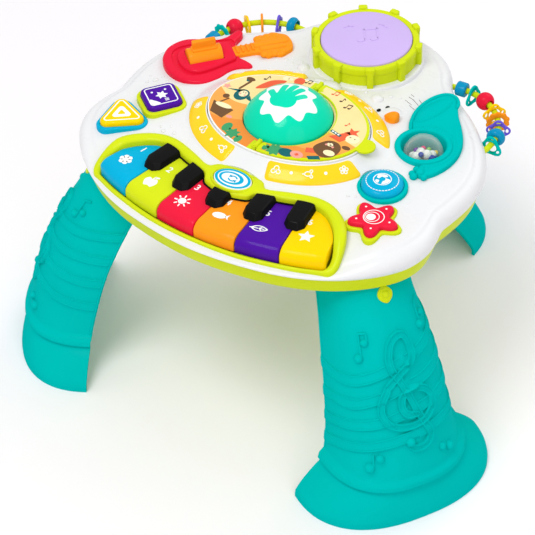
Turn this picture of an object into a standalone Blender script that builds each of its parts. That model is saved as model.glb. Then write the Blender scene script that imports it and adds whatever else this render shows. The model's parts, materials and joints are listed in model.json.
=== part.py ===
"""Toddler's activity table: a domed top with four lobes on three hollow legs. It carries a small piano, four
shaped buttons, a dome button in a picture disc with a flip page, light windows, a drum, a guitar with a
strum roller, a horn with a rattle ball, and two arches of beads.

Metres, +Z up. The piano faces -Y, the drum is at +Y and X runs to the right of a child at the piano.
The model is drawn about the dome's centre on the floor, then moved so that the origin is below the middle
of its box.
"""

import math

import bmesh
import bpy
from mathutils import Matrix, Vector

# Fits
GAP = 0.0003
RUNNING_GAP = 0.0005
OVERRUN = 0.004

# Top shell
TOP_REACH = 0.194
SEAM_Z = 0.231
RING_FOOT_Z = 0.257
RING_TOP_Z = 0.268
RING_HALF_WIDTH = 0.099
RING_HALF_DEPTH = 0.0765
DISC_HALF_WIDTH = 0.0808
DISC_HALF_DEPTH = 0.0582
SHELL_BULGE = 0.003
SHELL_WALL = 0.0025
OUTLINE_STEPS = 60
# Seam radius at angles from the front centre (-90) to the back centre (90), as shares of TOP_REACH
OUTLINE_SHARES = (
    (-90, 0.823), (-80, 0.827), (-70, 0.844), (-60, 0.876), (-50, 0.914), (-40, 0.953), (-30, 0.985),
    (-24, 0.993), (-18, 0.978), (-12.5, 0.942), (-8, 0.912), (-3, 0.914), (6, 0.928), (14.5, 0.933),
    (25, 0.914), (33, 0.890), (42, 0.868), (51, 0.850), (57, 0.855), (61, 0.878), (65, 0.918), (72, 0.969),
    (80, 0.995), (90, 1.0),
)
# Rows from the seam to the light ring: way inwards, height at the sides, height at the piano, bulge
DOME_ROW_SHARES = (
    (0.0, 0.0, 0.0, 0.0), (0.0, 0.30, 0.08, 1.0), (0.02, 0.64, 0.15, 0.5), (0.10, 0.80, 0.24, 0.0),
    (0.50, 0.84, 0.70, 0.0), (1.0, 1.0, 1.0, 0.0),
)
PIANO_SLOPE_FROM = -26
PIANO_SLOPE_TO = -48

# Base tray
TRAY_Z = 0.214
TRAY_EDGE = 0.002
TRAY_INSET = 0.001
TRAY_TAPER = 0.003
TRAY_FLOOR_SHARE = 0.5

# Legs: shares of LEG_TOP_Z and of FOOT_REACH, each row a height, the reach of the free edge, the half width
# and the reach of the outer face, from the collar to the top
LEG_ANGLES = {"front_right": -30, "front_left": 210, "back": 90}
LEG_WALL = 0.003
LEG_ROUNDNESS = 2.4
LEG_STEPS = 10
LEG_TOP_Z = 0.226
FOOT_REACH = 0.270
FOOT_LIP = 0.004
FOOT_EDGE_REACH = 0.1945
FOOT_HALF_WIDTH = 0.096
ANKLE_Z = 0.034
ANKLE_EDGE_REACH = 0.1920
ANKLE_HALF_WIDTH = 0.0670
ANKLE_REACH = 0.2610
COLLAR_HEIGHT = 0.013
COLLAR_SWELL = 0.003
SHIN_SHARES = (
    (0.21, 0.702, 0.229, 0.960), (0.31, 0.681, 0.212, 0.932), (0.42, 0.656, 0.202, 0.901),
    (0.53, 0.625, 0.192, 0.864), (0.62, 0.593, 0.183, 0.829), (0.72, 0.553, 0.169, 0.787),
    (0.82, 0.509, 0.155, 0.736), (0.90, 0.480, 0.149, 0.694), (0.945, 0.465, 0.144, 0.668),
    (1.0, 0.460, 0.142, 0.662),
)
FLARE_SHARES = ((0.35, 0.24), (0.68, 0.58))
BAND_SWELL = 0.0012
BAND_SHARES = ((0.277, 0.310), (0.384, 0.420), (0.490, 0.525), (0.596, 0.630))

# Leg latches
LATCH_Z = 0.2050
LATCH_HALF_WIDTH = 0.0072
LATCH_HALF_HEIGHT = 0.0068
LATCH_PROUD = 0.0012
LATCH_KNOB_RADIUS = 0.0042
LATCH_KNOB_HEIGHT = 0.0022
LATCH_DEPTH = 0.0045
LATCH_FLANGE = 0.002
LATCH_FLANGE_THICKNESS = 0.002
LATCH_STEPS = 16

# Piano: outlines as shares of the bezel's half width, measured from its back edge, from the front centre round
# to the back centre. The back edge keeps its place beside the light ring.
PIANO_HALF_WIDTH = 0.1295
PIANO_BACK_SHARE = -0.92766
PIANO_BACK_Y = PIANO_BACK_SHARE * RING_HALF_DEPTH
BEZEL_FLOOR_Z = 0.2313
BEZEL_FLOOR = 0.002
BEZEL_BACK_Z = 0.2585
BEZEL_STRIP_Z = 0.2385
BEZEL_EDGE = 0.002
BEZEL_CROWN = 0.001
BEZEL_STEPS = 3
BEZEL_OUTER_SHARES = (
    (0.0, -0.649), (0.36, -0.625), (0.70, -0.547), (0.90, -0.464), (0.975, -0.417), (1.0, -0.342),
    (0.955, -0.192), (0.865, -0.072), (0.725, 0.013), (0.58, 0.026), (0.40, -0.027), (0.245, -0.084),
    (0.17, -0.024), (0.0, 0.0),
)
BEZEL_INNER_SHARES = (
    (0.0, -0.6235), (0.35, -0.598), (0.68, -0.522), (0.86, -0.448), (0.922, -0.397), (0.928, -0.322),
    (0.872, -0.222), (0.80, -0.137), (0.70, -0.069), (0.575, -0.054), (0.41, -0.107), (0.22, -0.167),
    (0.165, -0.227), (0.0, -0.264),
)
BEZEL_FALL_SHARES = (-0.472, -0.177)

# Keys
KEY_COUNT = 6
KEY_TOP_Z = 0.252
KEY_BOTTOM_Z = 0.2405
KEY_FRONT_BOTTOM_Z = 0.2372
KEY_ROUND = 0.010
KEY_ROUND_DROP = 0.008
KEY_SKIRT = 0.003
KEY_BACK_SHARE, KEY_FRONT_SHARE, KEY_FRONT_RADIUS_SHARE = 0.03835, -0.61416, 2.40154
KEY_FAN_SHARE, KEY_PIVOT_SHARE = 2.94182, -0.00798
KEY_BACK_Y = PIANO_BACK_Y + KEY_BACK_SHARE * PIANO_HALF_WIDTH
KEY_FRONT_Y = PIANO_BACK_Y + KEY_FRONT_SHARE * PIANO_HALF_WIDTH
KEY_FRONT_RADIUS = KEY_FRONT_RADIUS_SHARE * PIANO_HALF_WIDTH
KEY_FAN_Y = PIANO_BACK_Y + KEY_FAN_SHARE * PIANO_HALF_WIDTH
KEY_SPREAD = 15.6
KEY_PIVOT_Y = PIANO_BACK_Y + KEY_PIVOT_SHARE * PIANO_HALF_WIDTH
KEY_PIVOT_Z = 0.246
KEY_ROUND_STEPS = 4
KEY_SECTIONS = 2

# Black keys: half widths and setbacks of the lower and upper outlines
BLACK_KEY_HEIGHT = 0.0068
BLACK_KEY_HALF_WIDTH = 0.0098
BLACK_KEY_TOP_HALF_WIDTH = 0.0080
BLACK_KEY_CHAMFER = 0.006
BLACK_KEY_TOP_SETBACK = 0.004
BLACK_KEY_FRONT_SHARE, BLACK_KEY_FRONT_RADIUS_SHARE, BLACK_STRIP_BACK_SHARE = -0.40567, 1.93050, 0.08468
BLACK_KEY_FRONT_Y = PIANO_BACK_Y + BLACK_KEY_FRONT_SHARE * PIANO_HALF_WIDTH
BLACK_KEY_FRONT_RADIUS = BLACK_KEY_FRONT_RADIUS_SHARE * PIANO_HALF_WIDTH
BLACK_STRIP_WIDTH = 0.0014
BLACK_STRIP_HEIGHT = 0.0012
BLACK_STRIP_BACK_Y = PIANO_BACK_Y + BLACK_STRIP_BACK_SHARE * PIANO_HALF_WIDTH

# Mode button
MODE_SHARE = -0.13540
MODE_Y = PIANO_BACK_Y + MODE_SHARE * PIANO_HALF_WIDTH
MODE_HALF_WIDTH = 0.0190
MODE_HALF_DEPTH = 0.0130
MODE_TOP_Z = 0.2600
MODE_FLOOR_Z = 0.2510
MODE_TRAVEL = 0.002
MODE_ROUND = 0.0012
MODE_STEPS = 24

# Picture disc and flip page
DISC_TOP_Z = 0.2696
DISC_HEIGHT = 0.0076
DISC_STEPS = 40
PAGE_HALF_WIDTH = 0.0792
PAGE_HALF_DEPTH = 0.0564
PAGE_THICKNESS = 0.0019
PAGE_HOLE_RADIUS = 0.0434
PAGE_EDGE_X = 0.0030
TAB_X = 0.0820
TAB_RADIUS = 0.0095
HINGE_Y = 0.050
HINGE_LENGTH = 0.009
HINGE_RADIUS = 0.0022
EAR_HALF_WIDTH = 0.0018
EAR_THICKNESS = 0.0014
HINGE_STEPS = 12

# Dome button
DOME_RADIUS = 0.0407
DOME_RISE = 0.0245
DOME_BASE_Z = 0.272
DOME_WALL = 0.0025
DOME_HOLE_RADIUS = 0.0415
DOME_FLANGE_RADIUS = 0.0440
DOME_FLANGE = 0.002
DOME_STEPS = 28
DOME_ARC_STEPS = 5

# Light windows: start and end angles of each
WINDOW_ANGLES = ((12.5, 79), (109.5, 163), (187, 253.5), (287, 346.5))
WINDOW_DROP = 0.0048
WINDOW_PROUD = 0.0008
LIGHT_BAND_TOP = 0.0040
LIGHT_BAND_DROP = 0.0056
LIGHT_BAND_INSET = 0.0072
WINDOW_MARGIN = 0.0012
WINDOW_STEPS = 6

# Push buttons: each place is X, Y and the height of the base's top
BUTTON_BASE_HEIGHT = 0.0135
BUTTON_WELL_DEPTH = 0.0115
BUTTON_CAP_RISE = 0.0045
BUTTON_CAP_SINK = 0.0080
BUTTON_BASE_ROUND = 0.0015
BUTTON_CAP_ROUND = 0.0025
BUTTON_RIM = 0.0038
BUTTON_STEPS = 5
TRIANGLE_PLACE_SHARES = (-0.72320, -0.34175)
TRIANGLE_BASE_Z = 0.2555
TRIANGLE_PLACE = (*(share * TOP_REACH for share in TRIANGLE_PLACE_SHARES), TRIANGLE_BASE_Z)
TRIANGLE_RADIUS = 0.0155
TRIANGLE_CORNER = 0.0066
TRIANGLE_TURN = 8
SQUARE_PLACE_SHARES = (-0.63041, -0.15052)
SQUARE_BASE_Z = 0.2592
SQUARE_PLACE = (*(share * TOP_REACH for share in SQUARE_PLACE_SHARES), SQUARE_BASE_Z)
SQUARE_RADIUS = 0.0142
SQUARE_CORNER = 0.0068
SQUARE_TURN = 9
ROUND_PLACE_SHARES = (0.58866, -0.11649)
ROUND_BASE_Z = 0.2570
ROUND_PLACE = (*(share * TOP_REACH for share in ROUND_PLACE_SHARES), ROUND_BASE_Z)
ROUND_RADIUS = 0.0190
ROUND_CAP_SHARES = ((0.0, 1.0), (0.45, 0.96), (0.72, 0.82), (0.9, 0.58), (0.98, 0.32), (1.0, 0.0))
ROUND_CAP_RISE = 0.0068
STAR_PLACE_SHARES = (0.68144, -0.33763)
STAR_BASE_Z = 0.2550
STAR_PLACE = (*(share * TOP_REACH for share in STAR_PLACE_SHARES), STAR_BASE_Z)
STAR_MEAN_RADIUS = 0.0182
STAR_SWING = 0.0046
STAR_TURN = 4
STAR_STEPS = 30

# Drum
DRUM_PLACE_SHARE = 0.68299
DRUM_Y = DRUM_PLACE_SHARE * TOP_REACH
DRUM_RADIUS = 0.0500
DRUM_WALL = 0.0065
DRUM_BOTTOM_Z = 0.2500
DRUM_TOP_Z = 0.2760
DRUM_FLOOR_Z = 0.2530
DRUM_HEAD_BOTTOM_Z = 0.2680
DRUM_HEAD_EDGE_Z = 0.2765
DRUM_HEAD_RISE = 0.0045
DRUM_STEPS = 32
LUG_COUNT = 10
LUG_WIDTH = 0.0060
LUG_REACH = 0.0035
LUG_RISE = 0.0020
LUG_LIFT = 0.0015
PEDESTAL_Z = 0.2570
PEDESTAL_RADIUS = 0.0545
PEDESTAL_FOOT_RADIUS = 0.0565
PEDESTAL_FOOT_Z = 0.2430

# Guitar, drawn along its own neck
GUITAR_PLACE_SHARES = (-0.66134, 0.24536)
GUITAR_PLACE = tuple(share * TOP_REACH for share in GUITAR_PLACE_SHARES)
GUITAR_TURN = 50
GUITAR_LENGTH = 0.0460
GUITAR_BOTTOM_Z = 0.2450
GUITAR_TOP_Z = 0.2600
GUITAR_ROUND = 0.0025
GUITAR_BODY_SHARES = (
    (-0.87, 0.0), (-0.81, 0.30), (-0.61, 0.57), (-0.26, 0.70), (0.11, 0.61), (0.39, 0.50),
    (0.61, 0.53), (0.87, 0.68), (0.98, 0.62), (0.92, 0.47), (0.76, 0.30), (0.66, 0.0),
    (0.70, -0.26), (0.80, -0.42), (0.87, -0.58), (0.80, -0.66), (0.58, -0.60), (0.36, -0.64),
    (0.09, -0.80), (-0.26, -0.86), (-0.61, -0.68), (-0.81, -0.35),
)
NECK_HALF_SHARES = (
    (0.58, 0.0), (0.60, 0.15), (1.06, 0.17), (1.17, 0.27), (1.26, 0.39), (1.40, 0.36), (1.55, 0.41),
    (1.70, 0.33), (1.84, 0.22), (1.88, 0.0),
)
NECK_TOP_Z = 0.2590
FRET_COUNT = 4
FRET_WIDTH = 0.0018
FRET_HEIGHT = 0.0014
FRET_FIRST_SHARE = 0.70
FRET_PITCH_SHARE = 0.11
ROLLER_RADIUS = 0.0110
ROLLER_LENGTH = 0.0330
ROLLER_Z = 0.2570
ROLLER_PIN_RADIUS = 0.0018
ROLLER_PIN_LENGTH = 0.0022
ROLLER_STEPS = 20
FIN_LENGTH = 0.0230
FIN_THICKNESS = 0.0050
FIN_HEIGHT = 0.0095

# Horn
WELL_PLACE_SHARES = (0.60309, 0.22165)
WELL_PLACE = tuple(share * TOP_REACH for share in WELL_PLACE_SHARES)
WELL_RADIUS = 0.0205
WELL_RING_RADIUS = 0.0262
WELL_WALL = 0.0020
WELL_FLOOR_Z = 0.2284
WELL_FLOOR = 0.0018
HORN_BOTTOM_Z = 0.2450
HORN_TOP_Z = 0.2580
HORN_ROUND = 0.0025
HORN_REACH = 0.0800
HORN_SHARES = (
    (-0.26, 0.20), (-0.38, 0.40), (-0.41, 0.60), (-0.36, 0.80), (-0.27, 0.95), (-0.14, 0.97),
    (-0.04, 0.83), (0.06, 0.68), (0.20, 0.51), (0.33, 0.31), (0.40, 0.09), (0.40, -0.14),
    (0.33, -0.36), (0.22, -0.47), (0.13, -0.36), (0.20, 0.0), (0.0, 0.22),
)
WELL_STEPS = 24

# Rattle ball in the well
BALL_Z = 0.2490
BALL_RADIUS = 0.0180
BALL_WALL = 0.0015
BALL_PIN_RADIUS = 0.0020
BALL_FILL_RADIUS = 0.0010
BALL_PIN_LENGTH = 0.0033
BALL_STEPS = 16
BALL_ARC_STEPS = 8
BEAD_RADIUS = 0.0031
BEAD_RING_COUNTS = (1, 5, 3)
BEAD_RING_ANGLES = (0, 20, 40)

# Beak
BEAK_PLACE_SHARES = (0.37113, 0.31959)
BEAK_PLACE = tuple(share * TOP_REACH for share in BEAK_PLACE_SHARES)
BEAK_RADIUS = 0.0068
BEAK_STEM_RADIUS = 0.0030
BEAK_SEAT_Z = 0.2580
BEAK_RISE = 0.0065
BEAK_STEM = 0.0060
BEAK_STEPS = 16

# Bead arches, each a level arc beside the top
ARCH_PLACE_SHARES = (0.48969, 0.50515)
ARCH_PLACE = tuple(share * TOP_REACH for share in ARCH_PLACE_SHARES)
ARCH_RADIUS_SHARE = 0.30928
ARCH_RADIUS = ARCH_RADIUS_SHARE * TOP_REACH
ARCH_Z = 0.2370
ARCH_TUBE_RADIUS = 0.0028
ARCH_FROM = -14
ARCH_TO = 111
ARCH_POINTS = 17
BEAD_BORE = 0.0035
RING_BORE = 0.0056
RING_THICKNESS = 0.0024
RING_REACH = 0.0115

# Parts inside and below the tray
DOOR_PLACE = (0.0, -0.0400)
DOOR_HALF_WIDTH = 0.0420
DOOR_HALF_DEPTH = 0.0280
DOOR_THICKNESS = 0.0020
DOOR_CORNER = 0.0050
DOOR_FRAME = 0.0030
LEDGE_WIDTH = 0.0070
LEDGE_HEIGHT = 0.0050
SWITCH_PLACE = (0.0620, -0.0400)
SWITCH_HALF_WIDTH = 0.0040
SWITCH_HALF_DEPTH = 0.0025
SWITCH_PROUD = 0.0018
SWITCH_SHOULDER = 0.0030
SWITCH_TRAVEL = 0.0060
SPEAKER_PLACE = (-0.0700, 0.0350)
SPEAKER_RADIUS = 0.0250
SPEAKER_HEIGHT = 0.0110
SPEAKER_MAGNET_RADIUS = 0.0120
SPEAKER_EDGE = 0.0025
GRILLE_HOLE_RADIUS = 0.0016
GRILLE_PITCH = 0.0058
GRILLE_RINGS = 2
BOARD_PLACE = (0.0300, 0.0450)
BOARD_HALF_WIDTH = 0.0300
BOARD_HALF_DEPTH = 0.0220
BOARD_THICKNESS = 0.0016
BOARD_POST_RADIUS = 0.0025
BOARD_POST_HEIGHT = 0.0040
BOARD_CHIP = 0.0050
BOARD_CHIP_HEIGHT = 0.0030
SCREW_HEAD_RADIUS = 0.0028
SCREW_SHANK_RADIUS = 0.0014
SCREW_HEAD_HEIGHT = 0.0016
SCREW_STEPS = 12

# Colours as red, green, blue and roughness
FINISHES = {
    "white": (0.92, 0.92, 0.93, 0.35),
    "lime": (0.62, 0.80, 0.05, 0.35),
    "teal": (0.0, 0.60, 0.56, 0.38),
    "green": (0.0, 0.70, 0.50, 0.35),
    "black": (0.02, 0.02, 0.022, 0.3),
    "blue": (0.0, 0.38, 0.70, 0.35),
    "red": (0.80, 0.02, 0.06, 0.35),
    "orange": (0.95, 0.32, 0.02, 0.35),
    "yellow": (0.98, 0.66, 0.0, 0.35),
    "purple": (0.12, 0.02, 0.42, 0.35),
    "lilac": (0.60, 0.47, 0.82, 0.45),
    "amber": (0.98, 0.62, 0.06, 0.25),
    "clear": (0.92, 0.94, 0.95, 0.08),
    "picture": (0.93, 0.78, 0.40, 0.5),
    "steel": (0.60, 0.60, 0.62, 0.3),
    "board": (0.02, 0.25, 0.10, 0.5),
    "grey": (0.10, 0.10, 0.11, 0.5),
}


def remove_startup_objects():
    for obj in list(bpy.data.objects):
        bpy.data.objects.remove(obj, do_unlink=True)


def new_collection(name):
    collection = bpy.data.collections.new(name)
    bpy.context.scene.collection.children.link(collection)
    return collection


def finish_material(name):
    material = bpy.data.materials.get(name)
    if material is None:
        red, green, blue, roughness = FINISHES[name]
        material = bpy.data.materials.new(name)
        material.use_nodes = True
        shader = material.node_tree.nodes["Principled BSDF"]
        shader.inputs["Base Color"].default_value = (red, green, blue, 1)
        shader.inputs["Roughness"].default_value = roughness
        shader.inputs["Metallic"].default_value = 1 if name == "steel" else 0
    return material


def add_part(name, mesh, finish, parent=None):
    """A named piece in the table's collection, smooth but for its sharp edges."""
    mesh.name = name
    mesh.materials.clear()
    mesh.materials.append(finish_material(finish))
    mesh.shade_smooth()
    mesh.set_sharp_from_angle(angle=math.radians(35))
    obj = bpy.data.objects.new(name, mesh)
    PARTS.objects.link(obj)
    if parent is not None:
        obj.parent = parent
    return obj


def add_cutter(name, mesh):
    obj = bpy.data.objects.new(name, mesh)
    CUTTERS.objects.link(obj)
    obj.hide_render = True
    obj.display_type = "WIRE"
    obj.parent = ROOT
    return obj


def shape_with(obj, other, operation):
    modifier = obj.modifiers.new(other.name, "BOOLEAN")
    modifier.operation = operation
    modifier.solver = "EXACT"
    modifier.object = other
    return modifier


def cut(obj, mesh, name):
    return shape_with(obj, add_cutter(name, mesh), "DIFFERENCE")


def join(obj, mesh, name):
    return shape_with(obj, add_cutter(name, mesh), "UNION")


def keep_inside(obj, mesh, name):
    return shape_with(obj, add_cutter(name, mesh), "INTERSECT")


def mesh_from(bm, name):
    bmesh.ops.recalc_face_normals(bm, faces=bm.faces)
    mesh = bpy.data.meshes.new(name)
    bm.to_mesh(mesh)
    bm.free()
    return mesh


def loft(rings, capped=True, looped=False, name="loft"):
    """Joins closed rings of equally many points, first to last. The ends are closed, or joined to each other."""
    bm = bmesh.new()
    rows = [[bm.verts.new(point) for point in ring] for ring in rings]
    followers = rows[1:] + rows[:1] if looped else rows[1:]
    for low, high in zip(rows, followers):
        for index in range(len(low)):
            after = (index + 1) % len(low)
            bm.faces.new((low[index], low[after], high[after], high[index]))
    if capped and not looped:
        bm.faces.new(rows[0])
        bm.faces.new(rows[-1])
    return mesh_from(bm, name)


def joined(meshes, name="joined"):
    """One mesh holding several meshes as separate bodies."""
    bm = bmesh.new()
    for mesh in meshes:
        bm.from_mesh(mesh)
        bpy.data.meshes.remove(mesh)
    return mesh_from(bm, name)


def moved(mesh, matrix):
    mesh.transform(matrix)
    return mesh


def prism(outlines, low, high, name="prism"):
    """A flat plate between two heights. Outlines after the first are holes in it."""
    curve = bpy.data.curves.new(name, "CURVE")
    curve.dimensions = "2D"
    curve.fill_mode = "BOTH"
    curve.extrude = (high - low) / 2
    for outline in outlines:
        spline = curve.splines.new("POLY")
        spline.points.add(len(outline) - 1)
        for point, (x, y) in zip(spline.points, outline):
            point.co = (x, y, 0, 1)
        spline.use_cyclic_u = True
    return solid_of_curve(curve, Matrix.Translation((0, 0, (low + high) / 2)))


def crowned(outline, low, high, rounding, name="crowned"):
    """A plate between two heights whose upper edge is rounded over."""
    rings = [[(x, y, low) for x, y in outline]]
    for turn in (0, math.pi / 4, math.pi / 2):
        inset = rounding * (1 - math.cos(turn))
        z = high - rounding * (1 - math.sin(turn))
        rings.append([(x, y, z) for x, y in grown(outline, -inset)])
    return loft(rings, name=name)


def solid_of_curve(curve, matrix):
    """The welded mesh of a curve, which is then removed."""
    guide = bpy.data.objects.new(curve.name, curve)
    CUTTERS.objects.link(guide)
    guide.matrix_world = matrix
    bpy.context.view_layer.update()
    evaluated = guide.evaluated_get(bpy.context.evaluated_depsgraph_get())
    mesh = bpy.data.meshes.new_from_object(evaluated)
    mesh.transform(guide.matrix_world)
    bpy.data.objects.remove(guide)
    bm = bmesh.new()
    bm.from_mesh(mesh)
    bpy.data.meshes.remove(mesh)
    bmesh.ops.remove_doubles(bm, verts=bm.verts, dist=GAP / 10)
    return mesh_from(bm, curve.name)


def tube(points, radius, name="tube"):
    curve = bpy.data.curves.new(name, "CURVE")
    curve.dimensions = "3D"
    curve.bevel_depth = radius
    curve.bevel_resolution = 2
    curve.use_fill_caps = True
    spline = curve.splines.new("POLY")
    spline.points.add(len(points) - 1)
    for point, place in zip(spline.points, points):
        point.co = (*place, 1)
    return solid_of_curve(curve, Matrix.Identity(4))


def turned(profile, steps, name="turned"):
    """Turns a profile of (radius, height) about Z. It closes on itself, but has no edge along the axis."""
    bm = bmesh.new()
    verts = [bm.verts.new((radius, 0, height)) for radius, height in profile]
    pairs = zip(verts, verts[1:] + verts[:1])
    edges = [bm.edges.new(pair) for pair in pairs if max(pair[0].co.x, pair[1].co.x) > 0]
    bmesh.ops.spin(bm, geom=verts + edges, cent=(0, 0, 0), axis=(0, 0, 1), angle=math.tau,
                   steps=steps, use_merge=True)
    bmesh.ops.remove_doubles(bm, verts=bm.verts, dist=GAP / 10)
    return mesh_from(bm, name)


def box(low, high, name="box"):
    bm = bmesh.new()
    size = [b - a for a, b in zip(low, high)]
    middle = [(a + b) / 2 for a, b in zip(low, high)]
    matrix = Matrix.Translation(middle) @ Matrix.Diagonal((*size, 1))
    bmesh.ops.create_cube(bm, size=1, matrix=matrix)
    return mesh_from(bm, name)


def cylinder(radius, low, high, place=(0, 0), steps=24, end_radius=None, name="cylinder"):
    bm = bmesh.new()
    matrix = Matrix.Translation((*place, (low + high) / 2))
    bmesh.ops.create_cone(bm, cap_ends=True, segments=steps, radius1=radius,
                          radius2=radius if end_radius is None else end_radius,
                          depth=high - low, matrix=matrix)
    return mesh_from(bm, name)


def rod(start, end, radius, steps=12, name="rod"):
    """A round bar between two points."""
    start, end = Vector(start), Vector(end)
    way = end - start
    turn = way.to_track_quat("Z", "Y").to_matrix().to_4x4()
    return moved(cylinder(radius, 0, way.length, steps=steps, name=name),
                 Matrix.Translation(start) @ turn)


def ellipse(half_width, half_depth, steps, place=(0, 0)):
    angles = [math.tau * step / steps for step in range(steps)]
    return [(place[0] + half_width * math.cos(a), place[1] + half_depth * math.sin(a)) for a in angles]


def mirrored_outline(half):
    """A closed outline from its right half, whose first and last points lie on the plane x = 0."""
    return list(half) + [(-x, y) for x, y in reversed(half[1:-1])]


def smoothed(points, steps):
    """A closed smooth curve through the points, as a Catmull-Rom spline."""
    curve = []
    count = len(points)
    for index in range(count):
        before, low, high, after = (points[(index + shift) % count] for shift in (-1, 0, 1, 2))
        for step in range(steps):
            curve.append(tuple(hermite(low[k], high[k], (high[k] - before[k]) / 2,
                                       (after[k] - low[k]) / 2, step / steps) for k in (0, 1)))
    return curve


def hermite(low, high, slope_low, slope_high, way):
    square, cube = way * way, way * way * way
    return (low * (2 * cube - 3 * square + 1) + slope_low * (cube - 2 * square + way)
            + high * (3 * square - 2 * cube) + slope_high * (cube - square))


def smooth_step(value, low, high):
    share = min(1, max(0, (value - low) / (high - low)))
    return share * share * (3 - 2 * share)


def grown(points, margin):
    """A closed anticlockwise outline moved outwards by a margin, corner by corner."""
    result = []
    count = len(points)
    for index, (x, y) in enumerate(points):
        before = Vector(points[index - 1])
        after = Vector(points[(index + 1) % count])
        here = Vector((x, y))
        one = (here - before).normalized()
        two = (after - here).normalized()
        normal = (Vector((one.y, -one.x)) + Vector((two.y, -two.x))).normalized()
        lean = max(0.5, normal.dot(Vector((two.y, -two.x))))
        result.append(tuple(here + normal * (margin / lean)))
    return result


def placed(points, place, turn):
    """Outline points turned by an angle in degrees and moved."""
    c, s = math.cos(math.radians(turn)), math.sin(math.radians(turn))
    return [(place[0] + c * x - s * y, place[1] + s * x + c * y) for x, y in points]


def rounded_polygon(sides, radius, corner, steps, turn=0):
    """A regular polygon whose corners, at the given radius, are the centres of round corners."""
    points = []
    for side in range(sides):
        middle = turn + 360 * side / sides
        centre = (radius * math.cos(math.radians(middle)), radius * math.sin(math.radians(middle)))
        for step in range(steps + 1):
            angle = math.radians(middle + (step / steps - 0.5) * 360 / sides)
            points.append((centre[0] + corner * math.cos(angle), centre[1] + corner * math.sin(angle)))
    return points


def outline_radius(angle):
    """Radius of the seam at an angle in degrees, the same on the left as on the right."""
    folded = math.degrees(math.asin(math.sin(math.radians(angle))))
    first, second = OUTLINE_SHARES[:2]
    fourth, last = OUTLINE_SHARES[-2:]
    table = [(2 * first[0] - second[0], second[1]), *OUTLINE_SHARES, (2 * last[0] - fourth[0], fourth[1])]
    for before, low, high, after in zip(table, table[1:], table[2:], table[3:]):
        if folded <= high[0] + GAP:
            span = high[0] - low[0]
            slope_low = (high[1] - before[1]) / (high[0] - before[0]) * span
            slope_high = (after[1] - low[1]) / (after[0] - low[0]) * span
            return TOP_REACH * hermite(low[1], high[1], slope_low, slope_high, (folded - low[0]) / span)
    return TOP_REACH


def oval_radius(angle, half_width, half_depth):
    c, s = math.cos(math.radians(angle)), math.sin(math.radians(angle))
    return 1 / math.hypot(c / half_width, s / half_depth)


def polar(angle, radius, z):
    return (radius * math.cos(math.radians(angle)), radius * math.sin(math.radians(angle)), z)


def dome_row(way, side_share, front_share, bulge_share):
    """One closed row of the top's outer surface."""
    row = []
    for step in range(OUTLINE_STEPS):
        angle = 360 * step / OUTLINE_STEPS
        folded = math.degrees(math.asin(math.sin(math.radians(angle))))
        front = smooth_step(-folded, -PIANO_SLOPE_FROM, -PIANO_SLOPE_TO)
        share = side_share + (front_share - side_share) * front
        outer = outline_radius(angle)
        foot = oval_radius(angle, RING_HALF_WIDTH, RING_HALF_DEPTH)
        bulge = SHELL_BULGE * bulge_share * (1 - front / 2)
        row.append(polar(angle, outer + (foot - outer) * way + bulge,
                         SEAM_Z + (RING_FOOT_Z - SEAM_Z) * share))
    return row


def build_top_shell():
    rows = [dome_row(*shares) for shares in DOME_ROW_SHARES]
    inner = []
    for step in range(OUTLINE_STEPS):
        angle = 360 * step / OUTLINE_STEPS
        inner.append(polar(angle, oval_radius(angle, DISC_HALF_WIDTH, DISC_HALF_DEPTH), RING_TOP_Z))
    shell = add_part("top_shell", loft([*rows, inner], capped=False), "white", ROOT)
    wall = shell.modifiers.new("wall", "SOLIDIFY")
    wall.thickness = SHELL_WALL
    wall.offset = -1
    disc_hole = ellipse(DISC_HALF_WIDTH, DISC_HALF_DEPTH, DISC_STEPS)
    cut(shell, prism([disc_hole], RING_FOOT_Z - OVERRUN, RING_TOP_Z + OVERRUN), "disc_hole")
    return shell


def tray_row(inset, z, share=1.0, taper=1.0):
    row = []
    for step in range(OUTLINE_STEPS):
        angle = 360 * step / OUTLINE_STEPS
        row.append(polar(angle, (outline_radius(angle) - inset - taper * TRAY_TAPER) * share, z))
    return row


def build_base_tray():
    rows = [
        tray_row(TRAY_INSET, SEAM_Z - GAP, taper=0),
        tray_row(TRAY_INSET, TRAY_Z + TRAY_EDGE),
        tray_row(TRAY_INSET + TRAY_EDGE, TRAY_Z),
        tray_row(TRAY_INSET, TRAY_Z, TRAY_FLOOR_SHARE),
    ]
    mesh = loft(rows, capped=False)
    bm = bmesh.new()
    bm.from_mesh(mesh)
    edge = [e for e in bm.edges if e.is_boundary and e.verts[0].co.z < TRAY_Z + TRAY_EDGE]
    bmesh.ops.contextual_create(bm, geom=edge)
    bpy.data.meshes.remove(mesh)
    tray = add_part("base_tray", mesh_from(bm, "base_tray"), "lime", ROOT)
    wall = tray.modifiers.new("wall", "SOLIDIFY")
    wall.thickness = SHELL_WALL
    wall.offset = -1
    return tray


def shin_row(z, swell=0.0):
    """Height, reach of the free edge, half width and depth of a leg between its collar and its top."""
    share = z / LEG_TOP_Z
    for low, high in zip(SHIN_SHARES, SHIN_SHARES[1:]):
        if share <= high[0] + GAP:
            way = (share - low[0]) / (high[0] - low[0])
            edge, width, reach = (FOOT_REACH * (one + (two - one) * way) for one, two in zip(low[1:], high[1:]))
            return z, edge, width + swell, reach - edge + swell
    return shin_row(LEG_TOP_Z)


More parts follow.
